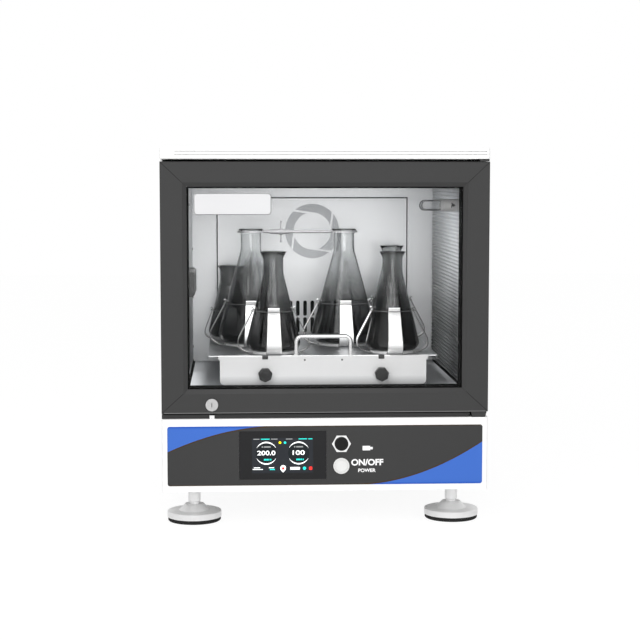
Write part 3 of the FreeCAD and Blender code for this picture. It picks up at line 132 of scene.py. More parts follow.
def axes_of(tree, place):
    split = node(tree, "ShaderNodeSeparateXYZ")
    tree.links.new(place, split.inputs[0])
    return split.outputs


def noise(tree, place, scale, detail=3.0, stretch=(1, 1, 1)):
    mapping = node(tree, "ShaderNodeMapping")
    mapping.inputs["Scale"].default_value = stretch
    tree.links.new(place, mapping.inputs["Vector"])
    made = node(tree, "ShaderNodeTexNoise")
    made.inputs["Scale"].default_value = scale
    made.inputs["Detail"].default_value = detail
    tree.links.new(mapping.outputs[0], made.inputs["Vector"])
    return made.outputs["Fac"]


def ramp(tree, value, start, end, low=0.0, high=1.0):
    """From low, where the value is start, to high, where it is end."""
    made = node(tree, "ShaderNodeMapRange")
    for socket, number in (("From Min", start), ("From Max", end), ("To Min", low), ("To Max", high)):
        made.inputs[socket].default_value = number
    tree.links.new(value, made.inputs["Value"])
    return made.outputs[0]


def spread(tree, value, low, high):
    """A value between 0 and 1 drawn out from low to high."""
    return ramp(tree, value, 0.0, 1.0, low, high)


def rising(tree, place, low, high, axis="Z"):
    """From 0 at the place low to 1 at the place high, along one axis."""
    return ramp(tree, axes_of(tree, place)[axis], low, high)


def bump(tree, shader, height, strength, distance):
    made = node(tree, "ShaderNodeBump")
    made.inputs["Strength"].default_value = strength
    made.inputs["Distance"].default_value = distance
    tree.links.new(height, made.inputs["Height"])
    tree.links.new(made.outputs[0], shader.inputs["Normal"])


def surface(name, colour, rough, metallic=0.0, tone=0.04, grain=900.0, relief=0.1,
            depth=0.00005, stretch=(1, 1, 1), specular=0.5):
    """A finish whose colour, roughness and relief vary with fine and broad noise."""
    material, tree, shader = new_material(name)
    place = place_of(tree)
    fine = noise(tree, place, grain, 3.0, stretch)
    broad = noise(tree, place, 9.0, 4.0, stretch)
    dark = tuple(c * (1 - tone) for c in colour)
    light = tuple(min(1.0, c * (1 + tone)) for c in colour)
    tree.links.new(mix_colour(tree, broad, dark, light), shader.inputs["Base Color"])
    tree.links.new(spread(tree, broad, rough * 0.85, min(1.0, rough * 1.15)),
                   shader.inputs["Roughness"])
    bump(tree, shader, fine, relief, depth)
    shader.inputs["Metallic"].default_value = metallic
    shader.inputs["Specular IOR Level"].default_value = specular
    return material


def brushed(name, colour, rough):
    """Brushed metal: fine lines drawn out along X."""
    return surface(name, colour, rough, 1.0, tone=0.03, grain=1400.0, relief=0.12,
                   depth=0.00003, stretch=(0.02, 1, 1))


def painted_shade_sheet(name, low, high, dark, light, rough):
    """A sheet with painted shade: darker low down, growing lighter with its height."""
    material, tree, shader = new_material(name)
    place = place_of(tree)
    fine = noise(tree, place, 1300.0)
    colour = mix_colour(tree, rising(tree, place, low, high), dark, light)
    shaded = mix_colour(tree, spread(tree, fine, 0.0, 0.06), colour, (0, 0, 0))
    tree.links.new(shaded, shader.inputs["Base Color"])
    tree.links.new(spread(tree, fine, rough * 0.9, rough * 1.1), shader.inputs["Roughness"])
    bump(tree, shader, fine, 0.05, 0.00003)
    return material


def emissive(name, colour, strength):
    """Print that glows a little, with the fine grid of a display."""
    material, tree, shader = new_material(name)
    grid = noise(tree, place_of(tree), 4000.0, 1.0)
    dark = tuple(c * 0.96 for c in colour)
    tree.links.new(mix_colour(tree, grid, dark, colour), shader.inputs["Base Color"])
    shader.inputs["Roughness"].default_value = 0.25
    shader.inputs["Specular IOR Level"].default_value = 0.15
    shader.inputs["Emission Color"].default_value = (*colour, 1.0)
    shader.inputs["Emission Strength"].default_value = strength
    return material


# The panel's blue corners meet its dark field on two parabolas
BLUE = (0.049, 0.148, 0.545)
BLUE_EDGE = (0.006, 0.075, 0.46)
FIELD_GREY = (0.041, 0.041, 0.041)
LINE_BROWN = (0.055, 0.03, 0.012)
UPPER_APEX_X = -0.0755
UPPER_CURVE = 1.176
LOWER_APEX_X = 0.047
LOWER_CURVE = 1.482
LINE_HALF_WIDTH = 0.0011
EDGE_FADE = 0.004


def panel_overlay():
    """The printed panel: blue, darker along its edges, with a brown line at the dark field."""
    material, tree, shader = new_material("panel_overlay")
    place = place_of(tree)
    axes = axes_of(tree, place)
    x = axes["X"]
    z = axes["Z"]

    def beyond(apex, curve, edge, sign):
        # How far a point lies past the curve, towards the panel's corner.
        across = math_node(tree, "MULTIPLY", math_node(tree, "SUBTRACT", x, apex), -sign)
        across = math_node(tree, "MAXIMUM", across, 0.0)
        square = math_node(tree, "MULTIPLY", math_node(tree, "MULTIPLY", across, across), curve)
        inwards = math_node(tree, "MULTIPLY", math_node(tree, "SUBTRACT", edge, z), sign)
        return math_node(tree, "SUBTRACT", square, inwards)

    upper = beyond(UPPER_APEX_X, UPPER_CURVE, PANEL_HIGH.z, 1)
    lower = beyond(LOWER_APEX_X, LOWER_CURVE, PANEL_LOW.z, -1)
    past = math_node(tree, "MAXIMUM", upper, lower)
    inside = math_node(tree, "GREATER_THAN", past, 0.0)
    line = math_node(tree, "LESS_THAN", math_node(tree, "ABSOLUTE", past), LINE_HALF_WIDTH)
    low = math_node(tree, "SUBTRACT", z, PANEL_LOW.z)
    high = math_node(tree, "SUBTRACT", PANEL_HIGH.z, z)
    rim = math_node(tree, "DIVIDE", math_node(tree, "MINIMUM", low, high), EDGE_FADE, clamp=True)
    grain = noise(tree, place, 2200.0)
    blue = mix_colour(tree, rim, BLUE_EDGE, BLUE)
    colour = mix_colour(tree, inside, FIELD_GREY, blue)
    colour = mix_colour(tree, line, colour, LINE_BROWN)
    dark = mix_colour(tree, spread(tree, grain, 0.0, 0.08), colour, (0, 0, 0))
    tree.links.new(dark, shader.inputs["Base Color"])
    tree.links.new(spread(tree, grain, 0.36, 0.46), shader.inputs["Roughness"])
    shader.inputs["Specular IOR Level"].default_value = 0.15
    bump(tree, shader, grain, 0.05, 0.00003)
    return material


def pane_glass():
    """A clear pane with a faint smear."""
    material, tree, shader = new_material("pane_glass")
    smear = noise(tree, place_of(tree), 6.0)
    tree.links.new(spread(tree, smear, 0.02, 0.04), shader.inputs["Roughness"])
    shader.inputs["Base Color"].default_value = (0.02, 0.022, 0.022, 1.0)
    shader.inputs["Alpha"].default_value = 0.03
    return material


def tube_glass():
    """Clear glass with a painted dark rim where it is seen along its wall, standing in for the dark
    outline that refraction gives.
    """
    material, tree, shader = new_material("tube_glass")
    smear = noise(tree, place_of(tree), 60.0)
    tree.links.new(spread(tree, smear, 0.0, 0.02), shader.inputs["Roughness"])
    # The dark rim is painted: the colour darkens where the wall is seen at a grazing angle
    painted_rim = math_node(tree, "POWER", node(tree, "ShaderNodeLayerWeight").outputs["Facing"], 2.0)
    tree.links.new(mix_colour(tree, painted_rim, (0.97, 0.97, 0.97), (0.02, 0.02, 0.02)),
                   shader.inputs["Base Color"])
    shader.inputs["Transmission Weight"].default_value = 1.0
    shader.inputs["IOR"].default_value = 1.06
    return material


# Between the front row of flasks, whose glass carries more painted shade, and the others, and how
# sharply their glass changes there
FRONT_ROW = -0.136
ROW_BLEND = 0.002
# The glass's painted shade fades out up to this height over the tray
SHADE_FADE_HEIGHT = 0.18


def smoked_glass():
    """Grey glass with painted shade, darker low down and in the front row, and painted dark
    reflections as streaks along its walls.
    """
    material, tree, shader = new_material("smoked_glass")
    place = place_of(tree)
    row = rising(tree, place, FRONT_ROW - ROW_BLEND, FRONT_ROW + ROW_BLEND, "Y")
    front = mix_colour(tree, rising(tree, place, TRAY_HIGH.z + 0.02, TRAY_HIGH.z + SHADE_FADE_HEIGHT),
                       (0.13, 0.13, 0.132), (0.58, 0.59, 0.59))
    back = mix_colour(tree, rising(tree, place, TRAY_HIGH.z, TRAY_HIGH.z + SHADE_FADE_HEIGHT),
                      (0.19, 0.19, 0.192), (0.92, 0.93, 0.93))
    colour = mix_colour(tree, row, front, back)
    # Dark streaks along the walls: painted reflections
    streaks = noise(tree, place, 42.0, 2.0, (1, 1, 0.07))
    painted_streaks = ramp(tree, streaks, 0.52, 0.68, 0.0, 0.6)
    colour = mix_colour(tree, painted_streaks, colour, (0.03, 0.03, 0.03))
    tree.links.new(colour, shader.inputs["Base Color"])
    ripple = noise(tree, place, 30.0, 2.0, (1, 1, 0.3))
    tree.links.new(spread(tree, ripple, 0.0, 0.03), shader.inputs["Roughness"])
    shader.inputs["Transmission Weight"].default_value = 1.0
    shader.inputs["IOR"].default_value = 1.47
    bump(tree, shader, ripple, 0.05, 0.0004)
    return material


SCREEN_PITCH = 0.0016


def screen_mesh():
    """Fine woven wire, as a grid of dark holes."""
    material, tree, shader = new_material("inlet_wire")
    axes = axes_of(tree, place_of(tree))
    waves = []
    for axis in ("X", "Z"):
        phase = math_node(tree, "MULTIPLY", axes[axis], 2 * math.pi / SCREEN_PITCH)
        waves.append(math_node(tree, "SINE", phase))
    holes = math_node(tree, "MULTIPLY", waves[0], waves[1])
    share = spread(tree, holes, 0.0, 1.0)
    tree.links.new(mix_colour(tree, share, (0.36, 0.37, 0.38), (0.55, 0.56, 0.58)),
                   shader.inputs["Base Color"])
    shader.inputs["Roughness"].default_value = 0.45
    bump(tree, shader, holes, 0.3, 0.0003)
    return material


# The finish of every material slot in the record
MATERIALS = {
    "white_paint": surface("white_powder_coat", (0.88, 0.88, 0.875), 0.45, grain=1500.0, relief=0.15,
                           tone=0.01),
    "door_grey": surface("grey_powder_coat", (0.045, 0.045, 0.045), 0.55, specular=0.12),
    "fascia": panel_overlay(),
    "display": surface("display_glass", (0.018, 0.018, 0.019), 0.3, specular=0.1, relief=0.02),
    "white_plastic": surface("white_moulding", (0.68, 0.68, 0.67), 0.35, relief=0.03),
    "black_plastic": surface("black_moulding", (0.03, 0.03, 0.03), 0.45, relief=0.12, specular=0.35),
    "grey_plastic": surface("grey_moulding", (0.40, 0.40, 0.40), 0.5),
    "dark_grey_plastic": surface("dark_grey_moulding", (0.06, 0.06, 0.06), 0.5, specular=0.2),
    "black_rubber": surface("black_rubber", (0.006, 0.006, 0.006), 0.8, relief=0.3, specular=0.05),
    "door_glass": pane_glass(),
    "lamp_glass": tube_glass(),
    "smoked_glass": smoked_glass(),
    "stainless": brushed("stainless_sheet", (0.78, 0.79, 0.80), 0.42),
    # The ribbed wall carries painted shade: dark low down, light towards the top
    "stainless_ribbed": painted_shade_sheet("ribbed_sheet_painted_shade", LINER_LOW.z + 0.1, LINER_HIGH.z - 0.03,
                               (0.085, 0.088, 0.09), (0.66, 0.68, 0.70), 0.45),
    # The apron carries a band of painted shade along its foot
    "apron_steel": painted_shade_sheet("satin_white_steel_painted_shade", APRON_LOW.z - 0.002, APRON_LOW.z + 0.016,
                          (0.32, 0.32, 0.32), (0.94, 0.94, 0.94), 0.4),
    "spring_steel": surface("spring_strip", (0.93, 0.93, 0.93), 0.3, 0.35, 0.02,
                            stretch=(1, 1, 0.02)),
    "bright_metal": surface("polished_plate", (0.88, 0.88, 0.88), 0.14, 1.0, tone=0.02, relief=0.03),
    "foot_metal": surface("turned_steel", (0.74, 0.74, 0.74), 0.3, 0.4),
    "machined_steel": brushed("ground_steel", (0.6, 0.6, 0.61), 0.35),
    "zinc_steel": surface("zinc_plate", (0.55, 0.56, 0.57), 0.4, 0.8, tone=0.12, grain=300.0),
    "aluminium": surface("cast_aluminium", (0.7, 0.7, 0.71), 0.42, 1.0, grain=700.0, relief=0.2),
    "circuit_board": surface("solder_mask", (0.02, 0.14, 0.06), 0.35),
    "foam": surface("rigid_foam", (0.66, 0.56, 0.34), 0.9, grain=260.0, relief=0.5, depth=0.001),
}

for part in frame["record"]["subparts"]:
    mesh = nodes[part["node"]].data
    mesh.materials.clear()
    mesh.materials.append(MATERIALS[part["material_slot"]])

# Nodes whose finish differs from that of their slot
LOCK_METAL = surface("satin_plate", (0.44, 0.44, 0.44), 0.4)
STEM_METAL = surface("stem_steel", (0.93, 0.93, 0.93), 0.35)
OWN_MATERIALS = {
    "lock_barrel": LOCK_METAL,
    "lock_cam": LOCK_METAL,
    "usb_cap": surface("cap_black", (0.012, 0.012, 0.012), 0.5, specular=0.1),
    "tie_rod": surface("tie_steel", (0.24, 0.24, 0.245), 0.4, 0.5),
    "foot_pads": surface("pad_rubber", (0.022, 0.022, 0.022), 0.8, relief=0.3, specular=0.1),
    "foot_stem_1": STEM_METAL,
    "foot_stem_2": STEM_METAL,
    "foot_stem_3": STEM_METAL,
    "foot_stem_4": STEM_METAL,
}
for name, material in OWN_MATERIALS.items():
    nodes[name].data.materials[0] = material


# Meshes

PRINT_DEPTH = 0.00012
PRINT_GAP = 0.00008


def add_piece(name, mesh, body, material):
    mesh.materials.clear()
    mesh.materials.append(material)
    made = bpy.data.objects.new(name, mesh)
    bpy.context.scene.collection.objects.link(made)
    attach(made, body)
    return made


def add_build(name, build, body, material, smooth_angle=None):
    """Turns a build into a piece. Edges sharper than the angle in degrees stay sharp."""
    bmesh.ops.recalc_face_normals(build, faces=build.faces)
    mesh = bpy.data.meshes.new(name)
    build.to_mesh(mesh)
    build.free()
    if smooth_angle is not None:
        mesh.polygons.foreach_set("use_smooth", [True] * len(mesh.polygons))
        mesh.set_sharp_from_angle(angle=math.radians(smooth_angle))
    return add_piece(name, mesh, body, material)


def slab(build, outline, y0, y1):
    """A flat shape facing -Y: its outline in X and Z, its front at y0 and its back at y1."""
    front = [build.verts.new((x, y0, z)) for x, z in outline]
    back = [build.verts.new((x, y1, z)) for x, z in outline]
    build.faces.new(front)
    build.faces.new(back[::-1])
    count = len(outline)
    for i in range(count):
        j = (i + 1) % count
        build.faces.new((front[i], back[i], back[j], front[j]))


def slabs(name, outlines, y0, y1, body, material, smooth_angle=None):
    build = bmesh.new()
    for outline in outlines:
        slab(build, outline, y0, y1)
    return add_build(name, build, body, material, smooth_angle)


def box_outline(x, z, width, height):
    return [(x - width / 2, z - height / 2), (x + width / 2, z - height / 2),
            (x + width / 2, z + height / 2), (x - width / 2, z + height / 2)]


def round_outline(x, z, width, height, radius):
    steps = 6
    points = []
    for i, (sx, sz) in enumerate(((1, 1), (-1, 1), (-1, -1), (1, -1))):
        cx = x + sx * (width / 2 - radius)
        cz = z + sz * (height / 2 - radius)
        for k in range(steps + 1):
            a = math.radians(90 * i + 90 * k / steps)
            points.append((cx + radius * math.cos(a), cz + radius * math.sin(a)))
    return points


def disc_outline(x, z, radius, steps=24):
    return [(x + radius * math.cos(2 * math.pi * i / steps),
             z + radius * math.sin(2 * math.pi * i / steps)) for i in range(steps)]


def arc_outline(x, z, radius, start, end, width, steps=20):
    """A crescent along a circle, pointed at both ends."""
    outer, inner = [], []
    for i in range(steps + 1):
        share = i / steps
        a = math.radians(start + (end - start) * share)
        half = width * math.sin(math.pi * share) / 2 + width * 0.04
        outer.append((x + (radius + half) * math.cos(a), z + (radius + half) * math.sin(a)))
        inner.append((x + (radius - half) * math.cos(a), z + (radius - half) * math.sin(a)))
    return outer + inner[::-1]


def half_circle(x, z, radius):
    """Points from the top of a circle over its left side to its foot."""
    steps = 24
    return [(x + radius * math.cos(a), z + radius * math.sin(a))
            for a in (math.pi / 2 + math.pi * i / steps for i in range(steps + 1))]


def lathe(build, profile, centre, axis=(0, 0, 1), segments=48, closed=False):
    """Turns (radius, height) points about an axis through centre. Radius 0 closes an end."""
    turn = Vector((0, 0, 1)).rotation_difference(Vector(axis))
    rings = []
    for radius, height in profile:
        if radius < 1e-7:
            rings.append([build.verts.new(turn @ Vector((0, 0, height)) + Vector(centre))])
            continue
        ring = []
        for i in range(segments):
            a = 2 * math.pi * i / segments
            point = Vector((radius * math.cos(a), radius * math.sin(a), height))
            ring.append(build.verts.new(turn @ point + Vector(centre)))
        rings.append(ring)
    pairs = list(zip(rings, rings[1:]))
    if closed:
        pairs.append((rings[-1], rings[0]))
    for low, high in pairs:
        for i in range(segments):
            j = (i + 1) % segments
            if len(low) == 1:
                build.faces.new((low[0], high[j], high[i]))
            elif len(high) == 1:
                build.faces.new((low[i], low[j], high[0]))
            else:
                build.faces.new((low[i], low[j], high[j], high[i]))


def rounded(points, radii, steps=6):
    """An open run of points whose inner corners are rounded with the given radii."""
    made = [Vector(points[0])]
    for before, corner, after, radius in zip(points, points[1:], points[2:], radii):
        a = Vector(before) - Vector(corner)
        b = Vector(after) - Vector(corner)
        half = a.angle(b) / 2
        reach = min(radius / math.tan(half), a.length * 0.49, b.length * 0.49)
        start = Vector(corner) + a.normalized() * reach
        end = Vector(corner) + b.normalized() * reach
        for k in range(steps + 1):
            t = k / steps
            made.append(start * (1 - t) ** 2 + Vector(corner) * 2 * t * (1 - t) + end * t * t)
    made.append(Vector(points[-1]))
    return [tuple(p) for p in made]


def corners_of(points):
    low = Vector([min(p[i] for p in points) for i in range(3)])
    high = Vector([max(p[i] for p in points) for i in range(3)])
    return low, high


def loose_boxes(name):
    """The boxes of a node's separate solids, as (low corner, high corner)."""
    build = bmesh.new()
    build.from_mesh(nodes[name].data)
    bmesh.ops.remove_doubles(build, verts=build.verts, dist=1e-6)
    seen, boxes = set(), []
    for vert in build.verts:
        if vert in seen:
            continue
        seen.add(vert)
        queue, found = [vert], []
        while queue:
            here = queue.pop()
            found.append(here.co.copy())
            for edge in here.link_edges:
                other = edge.other_vert(here)
                if other not in seen:
                    seen.add(other)
                    queue.append(other)
        boxes.append(corners_of(found))
    build.free()
    return boxes


def nearest(forms, height):
    """The form that a table keeps under the height nearest to this one."""
    return forms[min(forms, key=lambda known: abs(known - height))]


def lettering(name, words, x, z, width, height, y, body, material, bold=0.02):
    """Words as thin raised print, centred at x and z and scaled to a width and a height."""
    data = bpy.data.curves.new(name, "FONT")
    data.body = words
    data.offset = bold
    data.extrude = 0.01
    temporary = bpy.data.objects.new(name, data)
    bpy.context.scene.collection.objects.link(temporary)
    bpy.context.view_layer.update()
    mesh = bpy.data.meshes.new_from_object(temporary)
    bpy.data.objects.remove(temporary)
    low, high = corners_of([v.co for v in mesh.vertices])
    middle = (low + high) / 2
    for vert in mesh.vertices:
        across = (vert.co.x - middle.x) / (high.x - low.x) * width
        up = (vert.co.y - middle.y) / (high.y - low.y) * height
        depth = (vert.co.z - middle.z) / (high.z - low.z) * PRINT_DEPTH
        vert.co = Vector((x + across, y - depth, z + up))
    return add_piece(name, mesh, body, material)


# Display picture: places are across and up from the picture's middle

PICTURE_WIDTH = 0.1046
PICTURE_HEIGHT = 0.0607
PICTURE_X = -0.074
PICTURE_Z = 0.12595
MARKS_LIFT = 0.0004
MARK_HEIGHT = 0.0014
GAUGE_X = (-0.0278, 0.0277)
GAUGE_Z = 0.0038
GAUGE_RADIUS = 0.0187
GAUGE_LINE = 0.0021
# Each gauge has two arcs: the degrees where they start, and how far they run
ARC_STARTS = (28, 208)
ARC_RUN = 124
NUMBER_HEIGHT = 0.008
# Small print in a gauge, over and under its number: across, width
CAPTION_UP = 0.0108
CAPTION_MARKS = ((-0.0068, 0.0022), (0.0016, 0.0116))
READOUT_DOWN = 0.0112
READOUT_MARKS = ((-0.0032, 0.0016), (-0.0009, 0.0022), (0.0018, 0.0022), (0.0044, 0.0016),
                 (0.0076, 0.0016))
STATUS_Z = 0.0281
# Status marks: across, width, shown in teal
STATUS_MARKS = ((-0.0448, 0.0105, False), (-0.0296, 0.015, True), (-0.0142, 0.011, False),
                (0.0115, 0.011, False), (0.0348, 0.0145, True), (0.0477, 0.007, True))
LAMPS_Z = 0.0218
FOOT_Z = -0.0228
# Marks along the foot: across, up, width
FOOT_MARKS = ((-0.0438, 0.0014, 0.011), (-0.0425, -0.0014, 0.0175), (-0.019, 0.0014, 0.009))
PIN_X = 0.0009
PIN_HALF_WIDTH = 0.0047


def display_picture():
    face = DISPLAY_LOW.y - PRINT_GAP
    back = emissive("picture_grey", (0.016, 0.018, 0.022), 0.5)
    white = emissive("picture_white", (0.86, 0.88, 0.88), 0.75)
    teal = emissive("picture_teal", (0.02, 0.62, 0.55), 0.8)
    dial = emissive("picture_dial", (0.008, 0.011, 0.013), 0.5)
    red = emissive("picture_red", (0.80, 0.03, 0.025), 0.8)
    yellow = emissive("picture_yellow", (0.9, 0.72, 0.0), 0.9)

    def at(x, z):
        return PICTURE_X + x, PICTURE_Z + z + MARKS_LIFT

    def put(name, outlines, level, material):
        front = face - PRINT_DEPTH * (level + 1)
        slabs(name, outlines, front, front + PRINT_DEPTH * 0.9, "cabinet", material)

    put("picture", [round_outline(PICTURE_X, PICTURE_Z, PICTURE_WIDTH, PICTURE_HEIGHT, 0.001)],
        0, back)
    put("gauge_dials", [disc_outline(*at(x, GAUGE_Z), GAUGE_RADIUS * 0.96, 40) for x in GAUGE_X],
        1, dial)
    arcs, marks, teals, faint = [], [], [], []
    for x in GAUGE_X:
        for start in ARC_STARTS:
            arcs.append(arc_outline(*at(x, GAUGE_Z), GAUGE_RADIUS, start, start + ARC_RUN,
                                    GAUGE_LINE))
        for shift, width in CAPTION_MARKS:
            faint.append(box_outline(*at(x + shift, GAUGE_Z + CAPTION_UP), width, 0.0022))
        for shift, width in READOUT_MARKS:
            teals.append(box_outline(*at(x + shift, GAUGE_Z - READOUT_DOWN), width, 0.0028))
    for x, width, is_teal in STATUS_MARKS:
        (teals if is_teal else faint).append(box_outline(*at(x, STATUS_Z), width, MARK_HEIGHT))
    marks.append(box_outline(*at(0.0215, FOOT_Z), 0.0165, 0.0046))
    for x, up, width in FOOT_MARKS:
        marks.append(box_outline(*at(x, FOOT_Z + up), width, MARK_HEIGHT))
    teals.append(box_outline(*at(-0.0175, FOOT_Z - 0.0016), 0.0085, 0.0018))
    teals.append(disc_outline(*at(0.0376, FOOT_Z), 0.0028))
    teals.append(disc_outline(*at(0.0043, LAMPS_Z), 0.0021))
    pin = disc_outline(*at(PIN_X, FOOT_Z + 0.0008), 0.0049)[1:12]
    pin += [at(PIN_X - PIN_HALF_WIDTH, FOOT_Z - 0.002), at(PIN_X, FOOT_Z - 0.0072),
            at(PIN_X + PIN_HALF_WIDTH, FOOT_Z - 0.002)]
    put("gauge_arcs", arcs, 2, white)
    put("picture_marks", marks, 2, white)
    put("picture_faint_marks", faint, 2, emissive("picture_faint", (0.24, 0.25, 0.25), 0.6))
    put("picture_readouts", teals, 2, teal)
    put("picture_pin", [pin], 2, white)
    put("picture_dots", [disc_outline(*at(PIN_X, FOOT_Z), 0.0023),
                         round_outline(*at(0.0482, FOOT_Z), 0.0056, 0.0056, 0.0018)], 3, red)
    put("picture_lamp", [disc_outline(*at(-0.0044, LAMPS_Z + 0.0001), 0.0022)], 2, yellow)
    number_y = face - PRINT_DEPTH * 3
    lettering("gauge_number_left", "200.0", *at(GAUGE_X[0], GAUGE_Z + 0.0004), 0.031,
              NUMBER_HEIGHT, number_y, "cabinet", white)
    lettering("gauge_number_right", "100", *at(GAUGE_X[1], GAUGE_Z + 0.0006), 0.0208,
              NUMBER_HEIGHT, number_y, "cabinet", white)


# Panel print: the switch's words and the socket's pictogram

SIGN_Z = 0.1374


def panel_print():
    ink = surface("white_ink", (0.86, 0.86, 0.86), 0.5)
    y = PANEL_LOW.y - PRINT_GAP
    lettering("switch_words", "ON/OFF", 0.0717, 0.1129, 0.0552, 0.0112, y, "cabinet", ink, 0.035)
    lettering("power_word", "POWER", 0.0712, 0.0989, 0.0302, 0.0062, y, "cabinet", ink, 0.03)
    body = round_outline(0.0701, SIGN_Z, 0.0132, 0.0078, 0.0008)
    tip = box_outline(0.0789, SIGN_Z, 0.0042, 0.0042)
    slabs("socket_sign", [body, tip], y - PRINT_DEPTH / 2, y + PRINT_DEPTH / 2, "cabinet", ink)


# Bare badge plate on the door's outer pane, with a grey backing that shows round it: partly the
# badge's edge, partly a painted shadow

BADGE_X = -0.1575
BADGE_Z = 0.5558
BADGE_WIDTH = 0.1286
BADGE_HEIGHT = 0.0341
BACKING_EDGE = 0.001
BACKING_DEPTH = 0.0016
BADGE_DEPTH = 0.002


def badge():
    white = surface("badge_white", (0.64, 0.64, 0.65), 0.3, relief=0.02, specular=0.2)
    grey = surface("badge_edge_and_painted_shadow", (0.2, 0.2, 0.205), 0.35, relief=0.02, specular=0.2)
    middle = PANE_LOW.y - BACKING_DEPTH
    front = middle - BADGE_DEPTH
    # The backing is partly the badge's grey edge and partly its painted shadow, set a little right of
    # and below the plate
    backing = round_outline(BADGE_X + 0.0003, BADGE_Z - 0.0003, BADGE_WIDTH + BACKING_EDGE * 2,
                            BADGE_HEIGHT + BACKING_EDGE * 1.8, 0.0052)
    slabs("badge_backing_and_painted_shadow", [backing], middle, PANE_LOW.y - 0.0002, "door", grey)
    build = bmesh.new()
    slab(build, round_outline(BADGE_X, BADGE_Z, BADGE_WIDTH, BADGE_HEIGHT, 0.0043), front, middle)
    rim = [e for e in build.edges if all(v.co.y < front + 0.0006 for v in e.verts)]
    bmesh.ops.bevel(build, geom=rim, offset=0.0008, segments=3, affect="EDGES")
    add_build("badge_plate", build, "door", white, smooth_angle=40)


# Fine lines: the door's mitres, a painted highlight along its lower edge, painted shade in the lock's
# groove and in the cover's grooves

STILE_WIDTH = 0.0448
TOP_RAIL = 0.0426
BOTTOM_RAIL = 0.041
# A mitre line starts and stops this far from the rails' outer and inner edges
MITRE_START = 0.0014
MITRE_STOP = 0.0075
MITRE_HALF_WIDTH = 0.00036
# Two fine grooves along the top cover's front, drawn as grey lines of painted shade
GROOVE_HEIGHTS = (0.6391, 0.6444)


def fine_lines():
    face = FRAME_LOW.y
    build = bmesh.new()
    for edge, side in ((FRAME_LOW.x, -1), (FRAME_HIGH.x, 1)):
        for z, rail in ((FRAME_HIGH.z, -TOP_RAIL), (FRAME_LOW.z, BOTTOM_RAIL)):
            outer = Vector((edge - side * MITRE_START, z + math.copysign(MITRE_START, rail)))
            inner = Vector((edge - side * (STILE_WIDTH - MITRE_STOP),
                            z + rail * (1 - MITRE_STOP / STILE_WIDTH)))
            across = (inner - outer).orthogonal().normalized() * MITRE_HALF_WIDTH
            slab(build, [outer - across, inner - across, inner + across, outer + across],
                 face - 0.0001, face + 0.0003)
    add_build("mitre_lines", build, "door",
              surface("mitre_dark", (0.012, 0.012, 0.012), 0.7, specular=0.1))

    # A dark ring of painted shade in the gap round the lock's barrel
    low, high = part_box("lock_barrel")
    radius = (high.x - low.x) / 2
    middle = (low + high) / 2
    ring = arc_outline(middle.x, middle.z, radius + 0.0005, 0, 360, 0.001, 48)
    slabs("lock_groove", [ring], face - 0.0002, face + 0.0003, "door",
          surface("lock_groove_painted_shade", (0.02, 0.02, 0.02), 0.6, specular=0.1))
    # A painted highlight along the door's lower edge
    edge_line = box_outline(0.0, FRAME_LOW.z + 0.0009, 0.552, 0.0012)
    slabs("door_edge_painted_highlight", [edge_line], face - 0.0001, face + 0.0018, "door",
          surface("edge_painted_highlight", (0.17, 0.17, 0.17), 0.5, specular=0.2))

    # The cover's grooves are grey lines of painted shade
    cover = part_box("top_cover")[0].y
    grooves = [box_outline(0.0098, z, 0.530, 0.0007) for z in GROOVE_HEIGHTS]
    slabs("cover_grooves", grooves, cover - 0.00005, cover + 0.0004, "cabinet",
          surface("cover_groove_painted_shade", (0.5, 0.5, 0.5), 0.6, specular=0.1))


# Screws: a domed head with a cross recess

APRON_SCREW_X = (-0.0327, 0.0327)
APRON_SCREW_Z = 0.2825
APRON_SCREW_RADIUS = 0.0016
# On the chamber's left wall: places in Y and Z
WALL_SCREWS = ((0.138, 0.46), (0.138, 0.365), (0.138, 0.267), (-0.096, 0.551))
WALL_SCREW_RADIUS = 0.0028


def screw(build, centre, axis, radius):
    height = radius * 0.55
    lathe(build, ((radius, 0), (radius, height * 0.35), (radius * 0.86, height * 0.75),
                  (radius * 0.55, height), (radius * 0.24, height), (radius * 0.2, height * 0.4),
                  (0, height * 0.35)), centre, axis, 20)


def screws():
    build = bmesh.new()
    for x in APRON_SCREW_X:
        screw(build, (x, APRON_LOW.y, APRON_SCREW_Z), (0, -1, 0), APRON_SCREW_RADIUS)
    add_build("apron_screws", build, "platform",
              surface("dark_screw", (0.08, 0.08, 0.08), 0.4, 0.6), 35)
    build = bmesh.new()
    for y, z in WALL_SCREWS:
        screw(build, (CHAMBER_LEFT, y, z), (1, 0, 0), WALL_SCREW_RADIUS)
    add_build("wall_screws", build, "cabinet",
              surface("wall_screw", (0.1, 0.1, 0.1), 0.4, 0.4), 35)


# Chamber trim: the duct field's painted shadow and highlight lines, the inlet's screen, the floor, a
# painted shadow in the gap over the door and the slots' shadow

FIELD_LEFT, FIELD_RIGHT = -0.189, 0.189
FIELD_LOW = CHAMBER_FLOOR + 0.008
FIELD_HIGH = CHAMBER_TOP - 0.029
# The painted highlight line lies this far within the painted shadow line
FIELD_STEP = 0.003
INLET_Z = CHAMBER_FLOOR + 0.2594
INLET_RADIUS = 0.058
SLOTS_Z = CHAMBER_FLOOR + 0.0873
SLOTS_WIDTH = 0.128
SLOTS_HEIGHT = 0.1
# The inlet's screen and the slots' shadow lie just behind the duct cover's sheet
SCREEN_FRONT = 0.0018
SCREEN_BACK = 0.0022
SEAM = 0.0045
FLOOR_SHEET = 0.0004
GAP_WIDTH = 0.548
GAP_HEIGHT = 0.0044


def frame_outlines(left, right, low, high, width):
    middle = (low + high) / 2
    uprights = [box_outline(x, middle, width, high - low + width) for x in (left, right)]
    return uprights + [box_outline((left + right) / 2, z, right - left - width, width)
                       for z in (low, high)]


